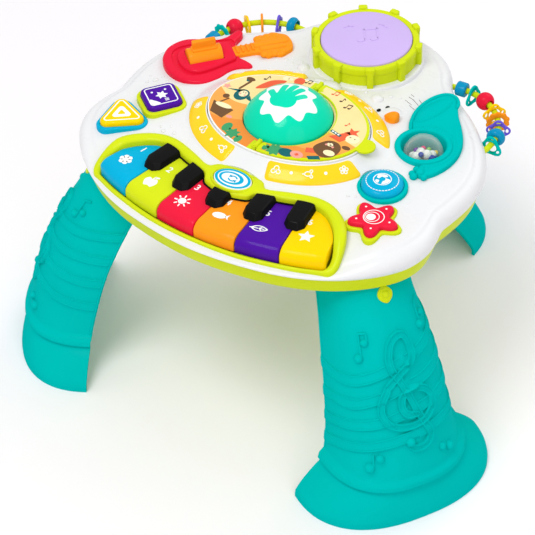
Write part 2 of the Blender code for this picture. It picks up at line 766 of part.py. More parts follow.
def leg_rows():
    """Height, reach of the free edge, half width and depth of each section, from the floor up."""
    foot = (FOOT_EDGE_REACH, FOOT_HALF_WIDTH, FOOT_REACH - FOOT_EDGE_REACH)
    ankle = (ANKLE_EDGE_REACH, ANKLE_HALF_WIDTH, ANKLE_REACH - ANKLE_EDGE_REACH)

    def blend(one, two, share, swell=0.0):
        edge, width, depth = (a + (b - a) * share for a, b in zip(one, two))
        return edge, width + swell, depth + swell

    rows = [(0, *foot), (FOOT_LIP, *foot)]
    for height_share, way in FLARE_SHARES:
        rows.append((FOOT_LIP + (ANKLE_Z - FOOT_LIP) * height_share, *blend(foot, ankle, way)))
    rows.append((ANKLE_Z, *ankle))
    collar = shin_row(ANKLE_Z + COLLAR_HEIGHT)[1:]
    for share, swell_share in ((0.15, 0.8), (0.5, 1.0), (0.85, 0.8)):
        rows.append((ANKLE_Z + COLLAR_HEIGHT * share, *blend(ankle, collar, share, COLLAR_SWELL * swell_share)))
    rows.append(shin_row(ANKLE_Z + COLLAR_HEIGHT))
    for low_share, high_share in BAND_SHARES:
        low, high = low_share * LEG_TOP_Z, high_share * LEG_TOP_Z
        rows += [shin_row(low), shin_row(low + BAND_SWELL, BAND_SWELL), shin_row(high, BAND_SWELL / 2)]
    rows += [shin_row(share[0] * LEG_TOP_Z) for share in SHIN_SHARES[-4:-2]]
    rows += [shin_row(TRAY_Z - 2 * GAP), shin_row(LEG_TOP_Z)]
    return rows


def leg_section(edge, half_width, depth, z, margin=0.0):
    """A closed C of one wall's thickness, open towards the table's middle."""
    power = 2 / LEG_ROUNDNESS
    outer, inner = [], []
    for step in range(LEG_STEPS + 1):
        angle = math.radians(-90 + 180 * step / LEG_STEPS)
        out = abs(math.cos(angle)) ** power if 0 < step < LEG_STEPS else 0
        side = math.copysign(abs(math.sin(angle)) ** power, angle)
        outer.append((edge - margin + (depth + 2 * margin) * out, (half_width + margin) * side, z))
        inner.append((edge - margin + (depth - LEG_WALL) * out,
                      (half_width - LEG_WALL - margin) * side, z))
    return outer + inner[::-1]


def build_leg(place, angle, tray):
    turn = Matrix.Rotation(math.radians(angle), 4, "Z")
    rings = [leg_section(edge, width, depth, z) for z, edge, width, depth in leg_rows()]
    leg = add_part(f"leg_{place}", moved(loft(rings), turn), "teal", ROOT)
    slot = []
    for z, level in ((TRAY_Z, TRAY_Z - OVERRUN), (TRAY_Z, TRAY_Z), (LEG_TOP_Z, LEG_TOP_Z),
                     (LEG_TOP_Z, LEG_TOP_Z + OVERRUN)):
        _, edge, width, depth = shin_row(z)
        slot.append(leg_section(edge, width, depth, level, GAP))
    cut(tray, moved(loft(slot), turn), f"leg_slot_{place}")
    return leg


def latch_frame(angle):
    """The middle of a latch on the leg's outer face, with its own Z square to that sloping face."""
    reach = [sum(shin_row(LATCH_Z + side * LATCH_HALF_HEIGHT)[1::2]) for side in (-1, 1)]
    slope = (reach[0] - reach[1]) / (2 * LATCH_HALF_HEIGHT)
    tilt = math.pi / 2 - math.atan(slope)
    return (Matrix.Rotation(math.radians(angle), 4, "Z") @ Matrix.Translation((sum(reach) / 2, 0, LATCH_Z))
            @ Matrix.Rotation(tilt, 4, "Y"))


def build_latch(place, angle, leg):
    frame = latch_frame(angle)
    plate = ellipse(LATCH_HALF_HEIGHT, LATCH_HALF_WIDTH, LATCH_STEPS)
    behind = -LATCH_DEPTH
    latch = add_part(f"leg_latch_{place}", prism([plate], behind - GAP, LATCH_PROUD), "lime", ROOT)
    latch.matrix_local = frame
    flange = prism([grown(plate, LATCH_FLANGE)], behind - LATCH_FLANGE_THICKNESS, behind)
    knob = cylinder(LATCH_KNOB_RADIUS, 0, LATCH_PROUD + LATCH_KNOB_HEIGHT,
                    end_radius=LATCH_KNOB_RADIUS / 2, steps=LATCH_STEPS)
    for mesh, name in ((flange, "latch_flange"), (knob, "latch_knob")):
        join(latch, moved(mesh, frame), f"{name}_{place}")
    hole = moved(prism([grown(plate, GAP)], behind - OVERRUN, OVERRUN), frame)
    cut(leg, hole, f"latch_hole_{place}")
    return latch


def piano_outline(shares):
    half = [(x * PIANO_HALF_WIDTH, PIANO_BACK_Y + y * PIANO_HALF_WIDTH) for x, y in shares]
    return smoothed(mirrored_outline(half), BEZEL_STEPS)


def bezel_height(y):
    low, high = (PIANO_BACK_Y + share * PIANO_HALF_WIDTH for share in BEZEL_FALL_SHARES)
    return BEZEL_STRIP_Z + (BEZEL_BACK_Z - BEZEL_STRIP_Z) * smooth_step(y, low, high)


def build_piano_bezel(top):
    outer = piano_outline(BEZEL_OUTER_SHARES)
    inner = piano_outline(BEZEL_INNER_SHARES)

    def ring(share, drop=0.0, level=None):
        points = []
        for (ox, oy), (ix, iy) in zip(outer, inner):
            x, y = ox + (ix - ox) * share, oy + (iy - oy) * share
            points.append((x, y, bezel_height(y) - drop if level is None else level))
        return points

    rings = [
        ring(0, level=BEZEL_FLOOR_Z), ring(0, BEZEL_EDGE), ring(0.2), ring(0.5, -BEZEL_CROWN), ring(0.8),
        ring(1, BEZEL_EDGE), ring(1, level=BEZEL_FLOOR_Z + BEZEL_FLOOR),
    ]
    bezel = add_part("piano_bezel", loft(rings), "lime", ROOT)
    cut(top, prism([grown(outer, GAP)], BEZEL_FLOOR_Z - OVERRUN, RING_TOP_Z + OVERRUN), "piano_hole")
    return bezel


def key_place(angle, radius, z):
    """A point of the fan of keys, whose rays meet far behind the table."""
    return (radius * math.sin(math.radians(angle)), KEY_FAN_Y - radius * math.cos(math.radians(angle)), z)


def key_front(angle):
    """Fan radius at which a ray meets the arc of the keys' fronts."""
    behind = KEY_FAN_Y - (KEY_FRONT_Y + KEY_FRONT_RADIUS)
    c = math.cos(math.radians(angle))
    return behind * c + math.sqrt(KEY_FRONT_RADIUS ** 2 - behind ** 2 * (1 - c * c))


def key_section(angle):
    """Side view of a key along one ray, rounded over at the front."""
    front = key_front(angle)
    back = KEY_FAN_Y - KEY_BACK_Y
    points = [(back, KEY_BOTTOM_Z), (back, KEY_TOP_Z)]
    for step in range(KEY_ROUND_STEPS + 1):
        turn = math.pi / 2 * step / KEY_ROUND_STEPS
        points.append((front - KEY_ROUND * (1 - math.sin(turn)),
                       KEY_TOP_Z - KEY_ROUND_DROP * (1 - math.cos(turn))))
    points += [(front, KEY_FRONT_BOTTOM_Z), (front - KEY_SKIRT, KEY_FRONT_BOTTOM_Z),
               (front - KEY_SKIRT, KEY_BOTTOM_Z)]
    return [key_place(angle, radius, z) for radius, z in points]


def build_keys():
    inner = prism([grown(piano_outline(BEZEL_INNER_SHARES), -RUNNING_GAP)],
                  BEZEL_FLOOR_Z + BEZEL_FLOOR + GAP, RING_TOP_Z + OVERRUN)
    well = add_cutter("key_well", inner)
    pitch = 2 * KEY_SPREAD / KEY_COUNT
    half_gap = math.degrees(RUNNING_GAP / 2 / (KEY_FAN_Y - KEY_FRONT_Y))
    finishes = ("blue", "lime", "red", "orange", "purple", "yellow")
    for index, finish in enumerate(finishes):
        start = -KEY_SPREAD + pitch * index + half_gap
        end = start + pitch - 2 * half_gap
        middle = (start + end) / 2
        rings = [key_section(start + (end - start) * step / KEY_SECTIONS) for step in range(KEY_SECTIONS + 1)]
        pivot = Matrix.Translation(key_place(middle, KEY_FAN_Y - KEY_PIVOT_Y, KEY_PIVOT_Z))
        mesh = moved(loft(rings), pivot.inverted())
        key = add_part(f"piano_key_{index + 1}", mesh, finish, ROOT)
        key.matrix_local = pivot
        shape_with(key, well, "INTERSECT")
    return well


def build_black_keys(well):
    pitch = 2 * KEY_SPREAD / KEY_COUNT
    low_z = KEY_TOP_Z + GAP
    meshes = []
    for index in range(1, KEY_COUNT):
        angle = -KEY_SPREAD + pitch * index
        behind = KEY_FAN_Y - (BLACK_KEY_FRONT_Y + BLACK_KEY_FRONT_RADIUS)
        c = math.cos(math.radians(angle))
        front = behind * c + math.sqrt(BLACK_KEY_FRONT_RADIUS ** 2 - behind ** 2 * (1 - c * c))
        back = KEY_FAN_Y - KEY_BACK_Y
        rings = []
        for z, half, setback in ((low_z, BLACK_KEY_HALF_WIDTH, 0),
                                 (low_z + BLACK_KEY_HEIGHT, BLACK_KEY_TOP_HALF_WIDTH, BLACK_KEY_TOP_SETBACK)):
            end = front - setback
            outline = [(back, -half), (end - BLACK_KEY_CHAMFER, -half), (end, -half / 2), (end, half / 2),
                       (end - BLACK_KEY_CHAMFER, half), (back, half)]
            turn = math.radians(angle)
            rings.append([(radius * math.sin(turn) + side * math.cos(turn),
                           KEY_FAN_Y - radius * math.cos(turn) + side * math.sin(turn), z)
                          for radius, side in outline])
        meshes.append(loft(rings))
    keys = add_part("black_keys", joined(meshes), "black", ROOT)
    inner = piano_outline(BEZEL_INNER_SHARES)
    strip = add_cutter("black_key_strip", prism(
        [grown(inner, -RUNNING_GAP), grown(inner, -RUNNING_GAP - BLACK_STRIP_WIDTH)],
        low_z, low_z + BLACK_STRIP_HEIGHT))
    spread = KEY_SPREAD - pitch
    back = KEY_FAN_Y - BLACK_STRIP_BACK_Y
    front = KEY_FAN_Y - BLACK_KEY_FRONT_Y
    sector = [key_place(spread * (step / 4 - 1), back, 0)[:2] for step in range(9)]
    sector += [key_place(spread * (1 - step / 4), front, 0)[:2] for step in range(9)]
    keep_inside(strip, prism([sector], BEZEL_FLOOR_Z, RING_TOP_Z), "black_strip_span")
    shape_with(keys, strip, "UNION")
    shape_with(keys, well, "INTERSECT")
    return keys


def build_mode_button(bezel):
    outline = ellipse(MODE_HALF_WIDTH, MODE_HALF_DEPTH, MODE_STEPS)
    place = Matrix.Translation((0, MODE_Y, 0))
    well = prism([grown(outline, GAP)], MODE_FLOOR_Z, RING_TOP_Z + OVERRUN)
    cut(bezel, moved(well, place), "mode_well")
    mesh = crowned(outline, MODE_FLOOR_Z + MODE_TRAVEL + GAP, MODE_TOP_Z, MODE_ROUND)
    button = add_part("mode_button", mesh, "blue", ROOT)
    button.matrix_local = place


def build_disc_base():
    margin = GAP + RUNNING_GAP
    outline = ellipse(DISC_HALF_WIDTH - margin, DISC_HALF_DEPTH - margin, DISC_STEPS)
    hole = ellipse(DOME_HOLE_RADIUS, DOME_HOLE_RADIUS, DISC_STEPS)
    disc = add_part("disc_base", prism([outline, hole], DISC_TOP_Z - DISC_HEIGHT, DISC_TOP_Z), "picture", ROOT)
    pivot_z = page_pivot_z()
    ears = []
    for side in (-1, 1):
        for end in (-1, 1):
            near = HINGE_LENGTH / 2 + GAP
            y_low, y_high = sorted(side * HINGE_Y + end * offset for offset in (near, near + EAR_THICKNESS))
            ears.append(box((-EAR_HALF_WIDTH, y_low, DISC_TOP_Z - EAR_THICKNESS),
                            (EAR_HALF_WIDTH, y_high, pivot_z + EAR_HALF_WIDTH)))
    join(disc, joined(ears), "hinge_ears")
    return disc


def page_pivot_z():
    return DISC_TOP_Z + GAP + HINGE_RADIUS


def build_flip_page():
    """The right half of the disc's cover, hinged along the disc's middle line."""
    start = math.degrees(math.acos(PAGE_EDGE_X / PAGE_HALF_WIDTH))
    inner_start = math.degrees(math.acos(PAGE_EDGE_X / PAGE_HOLE_RADIUS))
    steps = DISC_STEPS // 2
    outline = []
    for step in range(steps + 1):
        angle = math.radians(-start + 2 * start * step / steps)
        outline.append((PAGE_HALF_WIDTH * math.cos(angle), PAGE_HALF_DEPTH * math.sin(angle)))
    for step in range(steps + 1):
        angle = math.radians(inner_start - 2 * inner_start * step / steps)
        outline.append((PAGE_HOLE_RADIUS * math.cos(angle), PAGE_HOLE_RADIUS * math.sin(angle)))
    low = DISC_TOP_Z + GAP
    pivot = Matrix.Translation((0, 0, page_pivot_z()))
    mesh = moved(prism([outline], low, low + PAGE_THICKNESS), pivot.inverted())
    page = add_part("flip_page", mesh, "lime", ROOT)
    page.matrix_local = pivot
    tab = cylinder(TAB_RADIUS, low, low + PAGE_THICKNESS, (TAB_X, 0), steps=HINGE_STEPS * 2)
    join(page, tab, "page_tab")
    for side in (-1, 1):
        low_y, high_y = side * HINGE_Y - HINGE_LENGTH / 2, side * HINGE_Y + HINGE_LENGTH / 2
        knuckle = rod((0, low_y, page_pivot_z()), (0, high_y, page_pivot_z()), HINGE_RADIUS, HINGE_STEPS)
        join(page, knuckle, f"knuckle_{side + 2}")
        tongue = box((0, low_y, low), (PAGE_EDGE_X + HINGE_RADIUS, high_y, low + PAGE_THICKNESS))
        join(page, tongue, f"knuckle_tongue_{side + 2}")
    return page


def build_dome_button():
    """A hollow dome whose flange keeps it under the picture disc."""
    bottom = DISC_TOP_Z - DISC_HEIGHT - GAP
    big = (DOME_RADIUS ** 2 + DOME_RISE ** 2) / (2 * DOME_RISE)
    half_angle = math.asin(DOME_RADIUS / big)

    def arc(radius_change, steps):
        centre = DOME_BASE_Z + DOME_RISE - big
        return [((big + radius_change) * math.sin(half_angle * step / steps),
                 centre + (big + radius_change) * math.cos(half_angle * step / steps))
                for step in range(steps + 1)]

    inner = arc(-DOME_WALL, DOME_ARC_STEPS)
    profile = arc(0, DOME_ARC_STEPS) + [
        (DOME_RADIUS, bottom), (DOME_FLANGE_RADIUS, bottom), (DOME_FLANGE_RADIUS, bottom - DOME_FLANGE),
        (inner[-1][0], bottom - DOME_FLANGE),
    ] + inner[::-1]
    return add_part("dome_button", turned(profile, DOME_STEPS), "green", ROOT)


def window_section(angle, margin, low_drop, high_rise):
    """Section of a light window at an angle, sloping up from the ring's foot to the disc."""
    outer = oval_radius(angle, RING_HALF_WIDTH, RING_HALF_DEPTH) - WINDOW_MARGIN + margin
    inner = oval_radius(angle, DISC_HALF_WIDTH, DISC_HALF_DEPTH) + WINDOW_MARGIN - margin
    return [polar(angle, outer, RING_FOOT_Z - low_drop), polar(angle, outer, RING_FOOT_Z + high_rise),
            polar(angle, inner, RING_TOP_Z + high_rise), polar(angle, inner, RING_TOP_Z - low_drop)]


def build_light_windows(top):
    """One clear moulding: a band under the shell, with four windows that rise through it."""
    windows, holes = [], []
    for start, end in WINDOW_ANGLES:
        spread = math.degrees(GAP / RING_HALF_DEPTH)
        shapes = ((windows, 0, 0.0, WINDOW_DROP, WINDOW_PROUD),
                  (holes, spread, GAP, WINDOW_DROP + OVERRUN, OVERRUN))
        for result, widen, margin, drop, rise in shapes:
            angles = [start - widen + (end - start + 2 * widen) * step / WINDOW_STEPS
                      for step in range(WINDOW_STEPS + 1)]
            result.append(loft([window_section(angle, margin, drop, rise) for angle in angles]))
    cut(top, joined(holes), "window_holes")
    inset = LIGHT_BAND_INSET - WINDOW_MARGIN
    sections = []
    for step in range(DISC_STEPS):
        low_out, _, _, low_in = window_section(360 * step / DISC_STEPS, 0, LIGHT_BAND_DROP, 0)
        high_out, _, _, high_in = window_section(360 * step / DISC_STEPS, 0, LIGHT_BAND_TOP, 0)
        inwards = inset / (Vector(low_out) - Vector(low_in)).length
        shift_low = (Vector(low_in) - Vector(low_out)) * inwards
        shift_high = (Vector(high_in) - Vector(high_out)) * inwards
        sections.append([Vector(low_out) + shift_low, Vector(high_out) + shift_high, high_in, low_in])
    band = add_part("light_windows", loft(sections, looped=True), "amber", ROOT)
    join(band, joined(windows), "window_panes")
    return band


def build_button(name, outline_at, place, turn, base_finish, cap_finish, top, cap_mesh=None):
    """A shaped push button: a base cup let into the top, and a cap that slides down in it."""
    x, y, rim_z = place
    spot = (x, y)
    bottom = rim_z - BUTTON_BASE_HEIGHT
    base_mesh = crowned(placed(outline_at(BUTTON_RIM), spot, turn), bottom, rim_z, BUTTON_BASE_ROUND)
    base = add_part(f"{name}_base", base_mesh, base_finish, ROOT)
    well = prism([placed(outline_at(RUNNING_GAP), spot, turn)], rim_z - BUTTON_WELL_DEPTH, rim_z + OVERRUN)
    cut(base, well, f"{name}_well")
    hole = prism([placed(outline_at(BUTTON_RIM + GAP), spot, turn)], bottom - OVERRUN, rim_z + OVERRUN)
    hole = cut(top, hole, f"{name}_hole").object
    if cap_mesh is None:
        cap_mesh = crowned(outline_at(0), -BUTTON_CAP_SINK, BUTTON_CAP_RISE, BUTTON_CAP_ROUND)
    cap = add_part(f"{name}_button", cap_mesh, cap_finish, ROOT)
    cap.matrix_local = Matrix.Translation(place) @ Matrix.Rotation(math.radians(turn), 4, "Z")
    return hole


def triangle_outline(margin):
    return rounded_polygon(3, TRIANGLE_RADIUS, TRIANGLE_CORNER + margin, BUTTON_STEPS)


def square_outline(margin):
    return rounded_polygon(4, SQUARE_RADIUS, SQUARE_CORNER + margin, BUTTON_STEPS)


def circle_outline(margin):
    return ellipse(ROUND_RADIUS + margin, ROUND_RADIUS + margin, BUTTON_STEPS * 5)


def star_outline(margin):
    points = []
    for step in range(STAR_STEPS):
        angle = math.tau * step / STAR_STEPS
        radius = STAR_MEAN_RADIUS + margin + STAR_SWING * math.cos(5 * angle)
        points.append((radius * math.cos(angle), radius * math.sin(angle)))
    return points


def build_buttons(top, bezel, windows):
    build_button("triangle", triangle_outline, TRIANGLE_PLACE, TRIANGLE_TURN, "blue", "yellow", top)
    build_button("square", square_outline, SQUARE_PLACE, SQUARE_TURN, "lime", "purple", top)
    profile = [(ROUND_RADIUS * way, ROUND_CAP_RISE * rise) for way, rise in ROUND_CAP_SHARES]
    profile += [(ROUND_RADIUS, -BUTTON_CAP_SINK), (0, -BUTTON_CAP_SINK)]
    round_hole = build_button("round", circle_outline, ROUND_PLACE, 0, "teal", "blue", top,
                              turned(profile, BUTTON_STEPS * 5))
    shape_with(windows, round_hole, "DIFFERENCE")
    star_hole = build_button("star", star_outline, STAR_PLACE, STAR_TURN, "lime", "red", top)
    shape_with(bezel, star_hole, "DIFFERENCE")


def build_drum(top):
    middle = Matrix.Translation((0, DRUM_Y, 0))
    pedestal = cylinder(PEDESTAL_FOOT_RADIUS, PEDESTAL_FOOT_Z, PEDESTAL_Z, (0, DRUM_Y), DRUM_STEPS,
                        PEDESTAL_RADIUS)
    join(top, pedestal, "drum_pedestal")
    cut(top, cylinder(DRUM_RADIUS + GAP, DRUM_BOTTOM_Z - 2 * OVERRUN, DRUM_TOP_Z, (0, DRUM_Y), DRUM_STEPS),
        "drum_hole")
    inner = DRUM_RADIUS - DRUM_WALL
    profile = [(0, DRUM_BOTTOM_Z), (0, DRUM_FLOOR_Z), (inner, DRUM_FLOOR_Z), (inner, DRUM_TOP_Z - GAP),
               (inner + DRUM_WALL / 4, DRUM_TOP_Z), (DRUM_RADIUS - DRUM_WALL / 4, DRUM_TOP_Z),
               (DRUM_RADIUS, DRUM_TOP_Z - DRUM_WALL / 4), (DRUM_RADIUS, DRUM_BOTTOM_Z), (0, DRUM_BOTTOM_Z)]
    ring = add_part("drum_ring", moved(turned(profile[1:], DRUM_STEPS), middle), "lime", ROOT)
    lugs = []
    for index in range(LUG_COUNT):
        turn = Matrix.Rotation(math.tau * (index + 0.5) / LUG_COUNT, 4, "Z")
        lug = box((DRUM_RADIUS - DRUM_WALL / 2, -LUG_WIDTH / 2, PEDESTAL_Z + LUG_LIFT),
                  (DRUM_RADIUS + LUG_REACH, LUG_WIDTH / 2, DRUM_TOP_Z + LUG_RISE))
        lugs.append(moved(lug, middle @ turn))
    join(ring, joined(lugs), "drum_lugs")
    head_radius = inner - RUNNING_GAP
    profile = [(0, DRUM_HEAD_EDGE_Z + DRUM_HEAD_RISE), (head_radius * 0.5, DRUM_HEAD_EDGE_Z + DRUM_HEAD_RISE * 0.8),
               (head_radius * 0.85, DRUM_HEAD_EDGE_Z + DRUM_HEAD_RISE * 0.35), (head_radius, DRUM_HEAD_EDGE_Z),
               (head_radius, DRUM_HEAD_BOTTOM_Z), (head_radius - SHELL_WALL, DRUM_HEAD_BOTTOM_Z),
               (head_radius - SHELL_WALL, DRUM_HEAD_EDGE_Z - SHELL_WALL),
               (0, DRUM_HEAD_EDGE_Z + DRUM_HEAD_RISE - SHELL_WALL)]
    head = add_part("drum_head", turned(profile, DRUM_STEPS), "lilac", ROOT)
    head.matrix_local = middle


def guitar_outline(shares):
    whole = [(x * GUITAR_LENGTH, y * GUITAR_LENGTH) for x, y in shares]
    return placed(smoothed(whole, 2)[::-1], GUITAR_PLACE, GUITAR_TURN)


def build_guitar(top):
    frame = (Matrix.Translation((*GUITAR_PLACE, 0)) @ Matrix.Rotation(math.radians(GUITAR_TURN), 4, "Z"))
    body_outline = guitar_outline(GUITAR_BODY_SHARES)
    neck_outline = guitar_outline([*NECK_HALF_SHARES, *((u, -v) for u, v in NECK_HALF_SHARES[-2:0:-1])])
    body_mesh = crowned(body_outline, GUITAR_BOTTOM_Z, GUITAR_TOP_Z, GUITAR_ROUND)
    body = add_part("guitar_body", body_mesh, "red", ROOT)
    neck_cut = prism([grown(neck_outline, GAP)], GUITAR_BOTTOM_Z - OVERRUN, GUITAR_TOP_Z + OVERRUN)
    cut(body, neck_cut, "neck_pocket")
    neck_mesh = crowned(neck_outline, GUITAR_BOTTOM_Z, NECK_TOP_Z, GUITAR_ROUND / 2)
    neck = add_part("guitar_neck", neck_mesh, "orange", ROOT)
    frets = []
    for index in range(FRET_COUNT):
        u = GUITAR_LENGTH * (FRET_FIRST_SHARE + FRET_PITCH_SHARE * index)
        half = GUITAR_LENGTH * NECK_HALF_SHARES[1][1] - FRET_WIDTH
        low, high = (u, -half, NECK_TOP_Z - FRET_HEIGHT), (u + FRET_WIDTH, half, NECK_TOP_Z + FRET_HEIGHT)
        frets.append(moved(box(low, high),
                           frame))
    join(neck, joined(frets), "frets")
    for outline, name in ((body_outline, "guitar_hole"), (neck_outline, "neck_hole")):
        cut(top, prism([grown(outline, GAP)], GUITAR_BOTTOM_Z - OVERRUN, RING_TOP_Z), name)

    pocket_half = ROLLER_RADIUS + RUNNING_GAP
    pocket_length = ROLLER_LENGTH / 2 + RUNNING_GAP
    pocket = box((-pocket_length, -pocket_half, GUITAR_BOTTOM_Z - OVERRUN),
                 (pocket_length, pocket_half, GUITAR_TOP_Z + OVERRUN))
    cut(body, moved(pocket, frame), "roller_pocket")
    reach = ROLLER_LENGTH / 2 + ROLLER_PIN_LENGTH
    pin_hole = rod((-reach - GAP, 0, ROLLER_Z), (reach + GAP, 0, ROLLER_Z), ROLLER_PIN_RADIUS + GAP, HINGE_STEPS)
    cut(body, moved(pin_hole, frame), "roller_pin_holes")

    axis = frame @ Matrix.Translation((0, 0, ROLLER_Z))
    half_length = ROLLER_LENGTH / 2
    barrel = rod((-half_length, 0, 0), (half_length, 0, 0), ROLLER_RADIUS, ROLLER_STEPS)
    roller = add_part("strum_roller", barrel, "orange", ROOT)
    roller.matrix_local = axis
    pins = rod((-reach, 0, 0), (reach, 0, 0), ROLLER_PIN_RADIUS, HINGE_STEPS)
    fin = box((-FIN_LENGTH / 2, -FIN_THICKNESS / 2, 0),
              (FIN_LENGTH / 2, FIN_THICKNESS / 2, ROLLER_RADIUS + FIN_HEIGHT))
    join(roller, moved(pins, axis), "roller_pins")
    join(roller, moved(fin, axis), "roller_fin")


def build_horn(top):
    crescent = [(WELL_PLACE[0] + x * HORN_REACH, WELL_PLACE[1] + y * HORN_REACH) for x, y in HORN_SHARES]
    crescent = smoothed(crescent, 2)[::-1]
    horn = add_part("horn_body", crowned(crescent, HORN_BOTTOM_Z, HORN_TOP_Z, HORN_ROUND), "teal", ROOT)
    rim = ellipse(WELL_RING_RADIUS, WELL_RING_RADIUS, WELL_STEPS, WELL_PLACE)
    join(horn, crowned(rim, HORN_BOTTOM_Z, HORN_TOP_Z + HORN_ROUND / 2, HORN_ROUND), "well_ring")
    cup_radius = WELL_RADIUS + WELL_WALL
    cup = cylinder(cup_radius, WELL_FLOOR_Z, HORN_BOTTOM_Z + OVERRUN, WELL_PLACE, WELL_STEPS)
    join(horn, cup, "well_cup")
    well = cylinder(WELL_RADIUS, WELL_FLOOR_Z + WELL_FLOOR, HORN_TOP_Z + OVERRUN, WELL_PLACE, WELL_STEPS)
    cut(horn, well, "horn_well")
    reach = BALL_RADIUS + BALL_PIN_LENGTH
    pins = rod((WELL_PLACE[0] - reach - GAP, WELL_PLACE[1], BALL_Z), (WELL_PLACE[0] + reach + GAP, WELL_PLACE[1], BALL_Z),
               BALL_PIN_RADIUS + GAP, HINGE_STEPS)
    cut(horn, pins, "ball_pin_holes")
    holes = [prism([grown(crescent, GAP)], HORN_BOTTOM_Z - OVERRUN, RING_TOP_Z),
             cylinder(WELL_RING_RADIUS + GAP, HORN_BOTTOM_Z - OVERRUN, RING_TOP_Z, WELL_PLACE, WELL_STEPS)]
    for index, hole in enumerate(holes):
        cut(top, hole, f"horn_hole_{index + 1}")


def build_rattle_ball():
    """A clear hollow ball on two pins, filled through one of them, and the beads that lie in it."""
    axis = Matrix.Translation((*WELL_PLACE, BALL_Z)) @ Matrix.Rotation(math.pi / 2, 4, "Y")
    inner = BALL_RADIUS - BALL_WALL
    top = BALL_RADIUS + BALL_PIN_LENGTH
    start = math.asin(BALL_PIN_RADIUS / BALL_RADIUS)
    mouth = math.asin(BALL_FILL_RADIUS / inner)
    profile = [(BALL_FILL_RADIUS, top), (BALL_PIN_RADIUS, top)]
    for step in range(BALL_ARC_STEPS + 1):
        angle = start + (math.pi - 2 * start) * step / BALL_ARC_STEPS
        profile.append((BALL_RADIUS * math.sin(angle), BALL_RADIUS * math.cos(angle)))
    profile += [(BALL_PIN_RADIUS, -top), (0, -top), (0, -inner)]
    for step in range(1, BALL_ARC_STEPS + 1):
        angle = math.pi + (mouth - math.pi) * step / BALL_ARC_STEPS
        profile.append((inner * math.sin(angle), inner * math.cos(angle)))
    ball = add_part("rattle_ball", turned(profile, BALL_STEPS), "clear", ROOT)
    ball.matrix_local = axis

    lie = inner - BEAD_RADIUS - 2 * RUNNING_GAP
    beads = []
    for count, polar_angle in zip(BEAD_RING_COUNTS, BEAD_RING_ANGLES):
        for index in range(count):
            bm = bmesh.new()
            bmesh.ops.create_uvsphere(bm, u_segments=6, v_segments=4, radius=BEAD_RADIUS)
            turn = math.tau * index / BEAD_RING_COUNTS[1]
            tilt = math.radians(polar_angle)
            place = (lie * math.sin(tilt) * math.cos(turn), lie * math.sin(tilt) * math.sin(turn),
                     -lie * math.cos(tilt))
            beads.append(moved(mesh_from(bm, "bead"), Matrix.Translation(place)))
    place = Matrix.Translation((*WELL_PLACE, BALL_Z))
    loose = add_part("rattle_beads", beads[0], "purple", ROOT)
    loose.matrix_local = place
    heap = join(loose, moved(joined(beads[1:]), place), "bead_heap")
    heap.use_self = True


def build_beak(top):
    profile = [(0, BEAK_SEAT_Z + BEAK_RISE), (BEAK_RADIUS * 0.6, BEAK_SEAT_Z + BEAK_RISE * 0.8),
               (BEAK_RADIUS, BEAK_SEAT_Z + BEAK_RISE * 0.25), (BEAK_RADIUS, BEAK_SEAT_Z),
               (BEAK_STEM_RADIUS, BEAK_SEAT_Z), (BEAK_STEM_RADIUS, BEAK_SEAT_Z - BEAK_STEM),
               (0, BEAK_SEAT_Z - BEAK_STEM)]
    beak = add_part("beak", turned(profile, BEAK_STEPS), "orange", ROOT)
    beak.matrix_local = Matrix.Translation((*BEAK_PLACE, 0))
    hole = cylinder(BEAK_STEM_RADIUS + GAP, BEAK_SEAT_Z - BEAK_STEM - OVERRUN, BEAK_SEAT_Z, BEAK_PLACE, BEAK_STEPS)
    cut(top, hole, "beak_hole")
    seat = cylinder(BEAK_RADIUS + GAP, BEAK_SEAT_Z - GAP, RING_TOP_Z, BEAK_PLACE, BEAK_STEPS)
    cut(top, seat, "beak_seat")


def arch_place(side, angle, drop=0.0):
    turn = math.radians(angle)
    return Vector((side * (ARCH_PLACE[0] + ARCH_RADIUS * math.cos(turn)),
                   ARCH_PLACE[1] + ARCH_RADIUS * math.sin(turn), ARCH_Z - drop))


def arch_frame(side, angle, drop=0.0):
    """A frame on the arch whose Z runs along the tube and whose X points up."""
    turn = math.radians(angle)
    along = Vector((-side * math.sin(turn), math.cos(turn), 0))
    up = Vector((0, 0, 1))
    across = along.cross(up)
    frame = Matrix((up, across, along)).transposed().to_4x4()
    return Matrix.Translation(arch_place(side, angle, drop)) @ frame


def turned_bead(half_length, waist, belly):
    """Profile of a bored bead, closed on itself."""
    return [(BEAD_BORE, half_length), (waist, half_length), (belly, half_length / 2), (belly, -half_length / 2),
            (waist, -half_length), (BEAD_BORE, -half_length)]


def wavy_ring(lobes, swing, steps=24):
    points = []
    for step in range(steps):
        angle = math.tau * step / steps
        radius = RING_REACH * (1 - swing + swing * math.cos(lobes * angle))
        points.append((radius * math.cos(angle), radius * math.sin(angle)))
    return points


def bead_mesh(kind):
    if kind == "barrel":
        return turned(turned_bead(0.0052, 0.0055, 0.0072), 12), 0
    if kind == "ball":
        return turned([(BEAD_BORE, 0.0072), (0.0060, 0.0060), (0.0083, 0.0025), (0.0083, -0.0025),
                       (0.0060, -0.0060), (BEAD_BORE, -0.0072)], 14), 0
    if kind == "cup":
        return turned([(BEAD_BORE, 0.0045), (0.0080, 0.0045), (0.0088, 0.0), (0.0060, -0.0045),
                       (BEAD_BORE, -0.0045)], 14), 0
    lobes, swing = {"tri": (3, 0.14), "gear": (10, 0.05), "flower": (4, 0.12), "disc": (6, 0.04)}[kind]
    hang = RING_BORE - ARCH_TUBE_RADIUS - GAP
    hole = ellipse(RING_BORE, RING_BORE, 14)
    return prism([wavy_ring(lobes, swing), hole[::-1]], -RING_THICKNESS / 2, RING_THICKNESS / 2), hang


